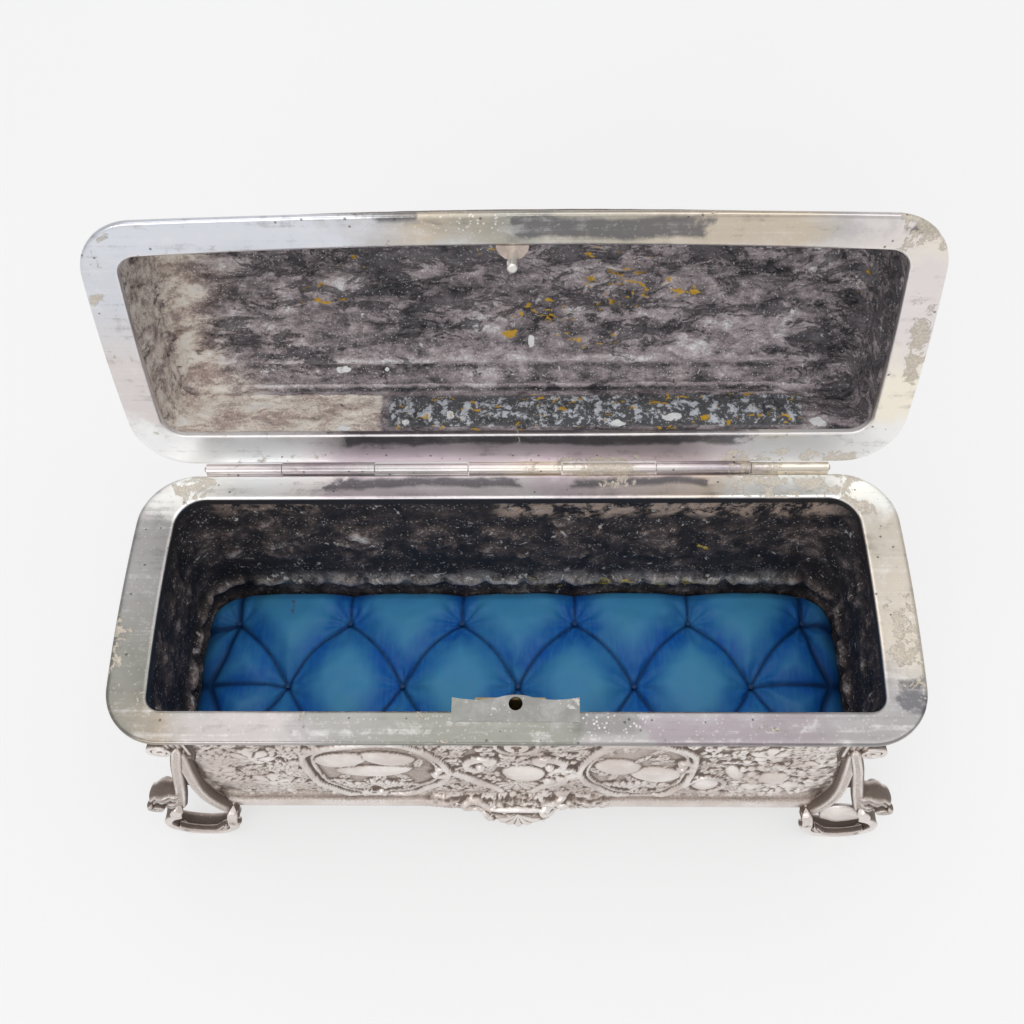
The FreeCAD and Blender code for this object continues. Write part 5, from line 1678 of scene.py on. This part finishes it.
# %% Cushion mesh
def cushion_piece():
    across, deep = 186, 64
    ys = PAD_FRONT + (PAD_BACK - PAD_FRONT) * (0.5 - 0.5 * np.cos(np.linspace(0.0, math.pi, deep)))
    ys = 0.35 * ys + 0.65 * np.linspace(PAD_FRONT, PAD_BACK, deep)
    in_front, in_back = PAD_FRONT + PAD_RADIUS - ys, ys - (PAD_BACK - PAD_RADIUS)
    over = np.maximum(np.clip(in_front, 0, PAD_RADIUS), np.clip(in_back, 0, PAD_RADIUS))
    bow = END_BOW_RADIUS - np.sqrt(END_BOW_RADIUS**2 - (ys - PAD_MIDDLE) ** 2)
    extent = PAD_HALF - bow - PAD_RADIUS + np.sqrt(np.clip(PAD_RADIUS**2 - over**2, 0, None))
    unit = np.linspace(-1, 1, across)
    unit = 0.12 * np.sin(unit * math.pi / 2) + 0.88 * unit
    x, y = extent[:, None] * unit, np.tile(ys[:, None], (1, across))
    inward = np.minimum(np.minimum(extent[:, None] - np.abs(x), y - PAD_FRONT), PAD_BACK - y)
    corner_x, corner_y = np.abs(x) - (PAD_HALF - PAD_RADIUS), np.maximum(in_front, in_back)[:, None]
    in_corner = (corner_x > 0) & (corner_y > 0)
    inward = np.clip(np.where(in_corner, PAD_RADIUS - np.hypot(corner_x, corner_y), inward), 0, None)
    z = PAD_LOW + pad_edge_height(inward) + 0.2 - pad_top(x, y)[0] * np.clip(0.45 + inward / 8, 0, 1)
    top = np.stack([x, y, z], -1)
    rim = np.vstack([top[0], top[1:, -1], top[-1, -2::-1], top[-2:0:-1, 0]])
    rows = [rim]
    for share, out in ((0.2, 0.5), (0.45, 0.9), (0.7, 0.6), (0.9, 0.1), (1.0, -1.0), (1.0, -6.0)):
        ring = rim.copy()
        way = ring[:, :2] - (0, PAD_MIDDLE)
        way /= np.linalg.norm(way, axis=1)[:, None]
        ring[:, :2] += way * (out - 0.9)
        ring[:, 2] = rim[:, 2] + (PAD_LOW - rim[:, 2]) * share
        rows.append(ring)
    spine = at_level(at_level(np.clip(ring[:, 0], -75, 75), PAD_MIDDLE), ring[:, 2])
    rows += [ring * 0.6 + spine * 0.4, ring * 0.25 + spine * 0.75, spine]
    piece = skin(
        "tufted_satin_pad", [(top, False, False), (rows, True, True)], "casket", blue_satin,
        ["cushion"]
    )
    mesh = bmesh.new()
    mesh.from_mesh(piece.data)
    bmesh.ops.remove_doubles(mesh, verts=mesh.verts, dist=0.00001)
    bmesh.ops.recalc_face_normals(mesh, faces=mesh.faces)
    mesh.to_mesh(piece.data)
    mesh.free()
    return piece


def points_of(piece):
    """The piece's points in millimetres from the hinge line."""
    places = np.empty(len(piece.data.vertices) * 3)
    piece.data.vertices.foreach_get("co", places)
    return places.reshape(-1, 3) / MM - HINGE


pad = cushion_piece()

# %% Folds pressed into the satin
finer = pad.modifiers.new("finer", "SUBSURF")
finer.levels = finer.render_levels = 1
pad.data = bpy.data.meshes.new_from_object(pad.evaluated_get(bpy.context.evaluated_depsgraph_get()))
pad.modifiers.clear()
p = points_of(pad)
down, near = pad_top(p[:, 0], p[:, 1])
on_top = rise(p[:, 2] - PAD_LOW, 2.5, 3)
p[:, 2] -= pad_creases(p[:, 0], p[:, 1], near) * on_top
pad.data.vertices.foreach_set("co", ((p + HINGE) * MM).ravel())
pad.data.polygons.foreach_set("use_smooth", [True] * len(pad.data.polygons))
# Painted shade of the folds, and of the box's front wall and ends on the satin.
ends = np.minimum(PAD_HALF - np.abs(p[:, 0]), p[:, 1] - PAD_FRONT)
fold_and_edge_shade = np.clip(np.exp(-near / 0.8) + 0.7 * np.exp(-np.clip(ends, 0, None) / 8.5), 0, 1)
# The crown mark holds the painted highlight of the pillow tops.
for mark, values in (("dirt", fold_and_edge_shade), ("crown", rise(near, 1.0, 9.0) * on_top)):
    pad.data.attributes.new(mark, "FLOAT", "POINT").data.foreach_set("value", values.astype(np.float32))
pad.data.update()
print(
    "pad has", len(pad.data.polygons), "faces and stands", round(float(p[:, 2].max() - PAD_LOW), 1),
    "mm high"
)

# %% [markdown]
# ## Small metal parts
# The hinge, the lock's plate, case and bolt, the stud, the oval plate and the threads have the
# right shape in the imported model, so they keep it and only get their finishes: pitted grey on the
# lock plate, pinkish solder round the stud, and polished or dull metal elsewhere.

# %% Small finishes
def pitted_plate():
    f = Finish("pitted lock plate", 0.9, 0.42)
    clouds = f.noise(120.0, 6.0, 0.7, 0.4)
    pits = f.band(f.grain(620.0), 0.20, 0.11) * f.band(f.noise(90.0, 3.0), 0.42, 0.56)
    pale = f.band(f.noise(210.0, 7.0, 0.7, 0.5), 0.60, 0.64)
    green = f.band(f.axis("X") + clouds * 0.006, 0.0, -0.014)
    f.colour = f.mix(f.band(clouds, 0.35, 0.65), (0.27, 0.262, 0.25), (0.42, 0.41, 0.395))
    f.coat(green * 0.3, (0.30, 0.33, 0.27))
    f.coat(pale * 0.7, (0.78, 0.74, 0.69))
    f.coat(pits * 0.8, (0.86, 0.85, 0.80))
    f.set("Base Color", f.colour)
    f.set("Metallic", 0.9 - pits * 0.5)
    f.set("Roughness", 0.38 + clouds * 0.2 + pale * 0.1)
    f.bumps(clouds * 0.6 + pits * 0.7 + f.noise(800.0, 4.0) * 0.5, 0.0001, 0.9)
    return f.material


def plain_metal(name, low, high, rough, bump=0.0001):
    f = Finish(name, 0.9, rough)
    clouds = f.noise(150.0, 5.0, 0.65)
    fine = f.noise(900.0, 4.0, 0.6)
    f.set("Base Color", f.mix(f.band(clouds, 0.3, 0.7), low, high))
    f.set("Roughness", rough + clouds * 0.15 + fine * 0.08)
    f.bumps(clouds * 0.6 + fine, bump, 0.7)
    return f.material


def fibrous(name, rough, stretch, noise, tones, bump):
    """Thread or card: two tones along stretched fibres."""
    f = Finish(name, 0.0, rough)
    fibres = f.noise(*noise, 0.0, stretch)
    f.set("Base Color", f.mix(fibres, *tones))
    f.bumps(fibres, bump)
    return f.material


THREAD_TONES = ((0.004, 0.022, 0.09), (0.02, 0.09, 0.24))
CARD_TONES = ((0.20, 0.17, 0.13), (0.36, 0.31, 0.25))
grey_side = [(-84, "grey"), (-2, "grey")]
back_side = [(-84, "pale"), (-62, "mauve"), (-38, "grey"), (-12, "pale")]
back_side += [(12, "cream"), (36, "pale"), (62, "mauve"), (78, "cream")]
hinge_sides = (grey_side, back_side, grey_side, grey_side)
# The hinge knuckles take the same painted reflections and tarnish tones as the rims.
hinge_plate = rim_plate(
    "hinge plate", False, hinge_sides, (1.1,) * 4, [(13, 40, -8, 8), (64, 80, -8, 8)], [], None
)
finishes = {
    "base_knuckles": hinge_plate,
    "lid_knuckles": hinge_plate,
    "hinge_pin": plain_metal("hinge pin", (0.42, 0.41, 0.40), (0.62, 0.60, 0.58), 0.28),
    "lock_plate": pitted_plate(),
    "lock_case": plain_metal("lock case brass", (0.30, 0.22, 0.10), (0.46, 0.36, 0.18), 0.4),
    "lock_bolt": plain_metal("lock bolt", (0.34, 0.30, 0.24), (0.55, 0.50, 0.42), 0.3),
    "lock_spring": plain_metal("spring steel", (0.20, 0.20, 0.22), (0.38, 0.38, 0.40), 0.32),
    "keyhole_plate": cast,
    "lid_stud": plain_metal("bright stud", (0.70, 0.67, 0.63), (0.90, 0.87, 0.83), 0.25),
    "stud_lug": plain_metal("solder lug", (0.52, 0.42, 0.37), (0.78, 0.68, 0.61), 0.38, 0.0003),
    "floor_plate": plain_metal("bottom sheet", (0.30, 0.27, 0.24), (0.50, 0.46, 0.42), 0.42),
    "pad_board": fibrous("grey card", 0.85, (1, 0.3, 1), (400.0, 6.0, 0.7), CARD_TONES, 0.0001),
    "tuft_knots": fibrous("navy thread", 0.75, (1, 1, 0.3), (1400.0, 3.0, 0.6), THREAD_TONES, 0.0002),
}
for node, finish in finishes.items():
    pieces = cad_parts[node]
    for piece in pieces if isinstance(pieces, list) else [pieces]:
        piece.data.materials.clear()
        piece.data.materials.append(finish)
print(len(finishes), "carried nodes have their finish")

# %% [markdown]
# ## Floor, backdrop and light
# The photograph has a white ground and soft light from above. One large soft lamp overhead gives
# the rims their broad reflections, a second from the front lifts the relief, and a pale world
# fills the rest. Seen by the camera the world is white and the floor nearly so.

# %% Stage and lamps
FLOOR_SHOWN = 0.62  # the share of plain white in the floor, as the camera sees it
SKY = (
    (0.0, 0.55), (0.16, 0.62), (0.30, 0.95), (0.44, 0.62), (0.60, 0.42), (0.74, 0.58), (0.86, 0.80),
    (1.0, 0.62)
)


def stage_finish():
    f = Finish("pale floor", 0.0, 0.8)
    f.set("Base Color", f.mix(f.noise(8.0, 3.0), (0.80, 0.80, 0.80), (0.84, 0.84, 0.84)))
    white = f.node("ShaderNodeEmission", {}, {"Color": (1, 1, 1), "Strength": 1.0}, "Emission")
    to_camera = f.node("ShaderNodeLightPath", {}, {}, "Is Camera Ray")
    mirrored = f.node("ShaderNodeLightPath", {}, {}, "Is Glossy Ray")
    shown = f.node(
        "ShaderNodeMath", {"operation": "MAXIMUM"},
        {0: to_camera * FLOOR_SHOWN, 1: mirrored * FLOOR_SHOWN}
    )
    both = f.node(
        "ShaderNodeMixShader", {}, {0: shown, 1: Wire(f, f.shader.outputs[0]), 2: white}, "Shader"
    )
    f.join(f.tree.nodes["Material Output"].inputs["Surface"], both)
    return f.material


floor_mesh = bpy.data.meshes.new("studio_floor")
floor_mesh.from_pydata([(-3, -3, 0), (3, -3, 0), (3, 3, 0), (-3, 3, 0)], [], [(0, 1, 2, 3)])
floor_mesh.materials.append(stage_finish())
studio_floor = bpy.data.objects.new("studio_floor", floor_mesh)
scene.collection.objects.link(studio_floor)
studio_floor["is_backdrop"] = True


def lamp(name, place, aim, size, watts):
    light = bpy.data.lights.new(name, "AREA")
    light.shape = "RECTANGLE"
    light.size, light.size_y = size
    light.energy = watts
    thing = bpy.data.objects.new(name, light)
    thing.location = place
    thing.rotation_euler = (Vector(aim) - Vector(place)).to_track_quat("-Z", "Y").to_euler()
    scene.collection.objects.link(thing)


lamp("overhead soft light", (0.1, 0.1, 1.5), (0, 0, 0.05), (1.6, 1.2), 7.0)
lamp("front soft light", (-0.5, -1.3, 1.0), (0, 0, 0.05), (1.2, 0.8), 6.0)

world = bpy.data.worlds.new("studio")
scene.world = world
world.use_nodes = True
air = Nodes(world.node_tree)
split = air.node(
    "ShaderNodeSeparateXYZ", {}, {"Vector": air.node("ShaderNodeTexCoord", {}, {}, "Generated")}, "X"
)
share = air.node("ShaderNodeMapRange", {}, {"Value": split, "From Min": -0.5, "From Max": 0.5})
stops = [(place, (grey, grey, grey * 1.01)) for place, grey in SKY]
across_sky = air.node("ShaderNodeValToRGB", {"stops": stops}, {"Fac": share})
across_sky.socket.node.color_ramp.interpolation = "B_SPLINE"
path = air.node("ShaderNodeLightPath", {}, {}, "Is Camera Ray")
sky = air.node("ShaderNodeMix", {"data_type": "RGBA"}, {0: path, 6: across_sky, 7: (1, 1, 1)}, 2)
air.join(world.node_tree.nodes["Background"].inputs["Color"], sky)
print("two lamps and a sky with soft bands")

# %% [markdown]
# ## Sizes and the end
# The box of the dressed model, without the floor, is printed in millimetres.

# %% Sizes
low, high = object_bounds()
print("visual box in mm:", [round(v * 1000, 1) for v in (*low, *high)])
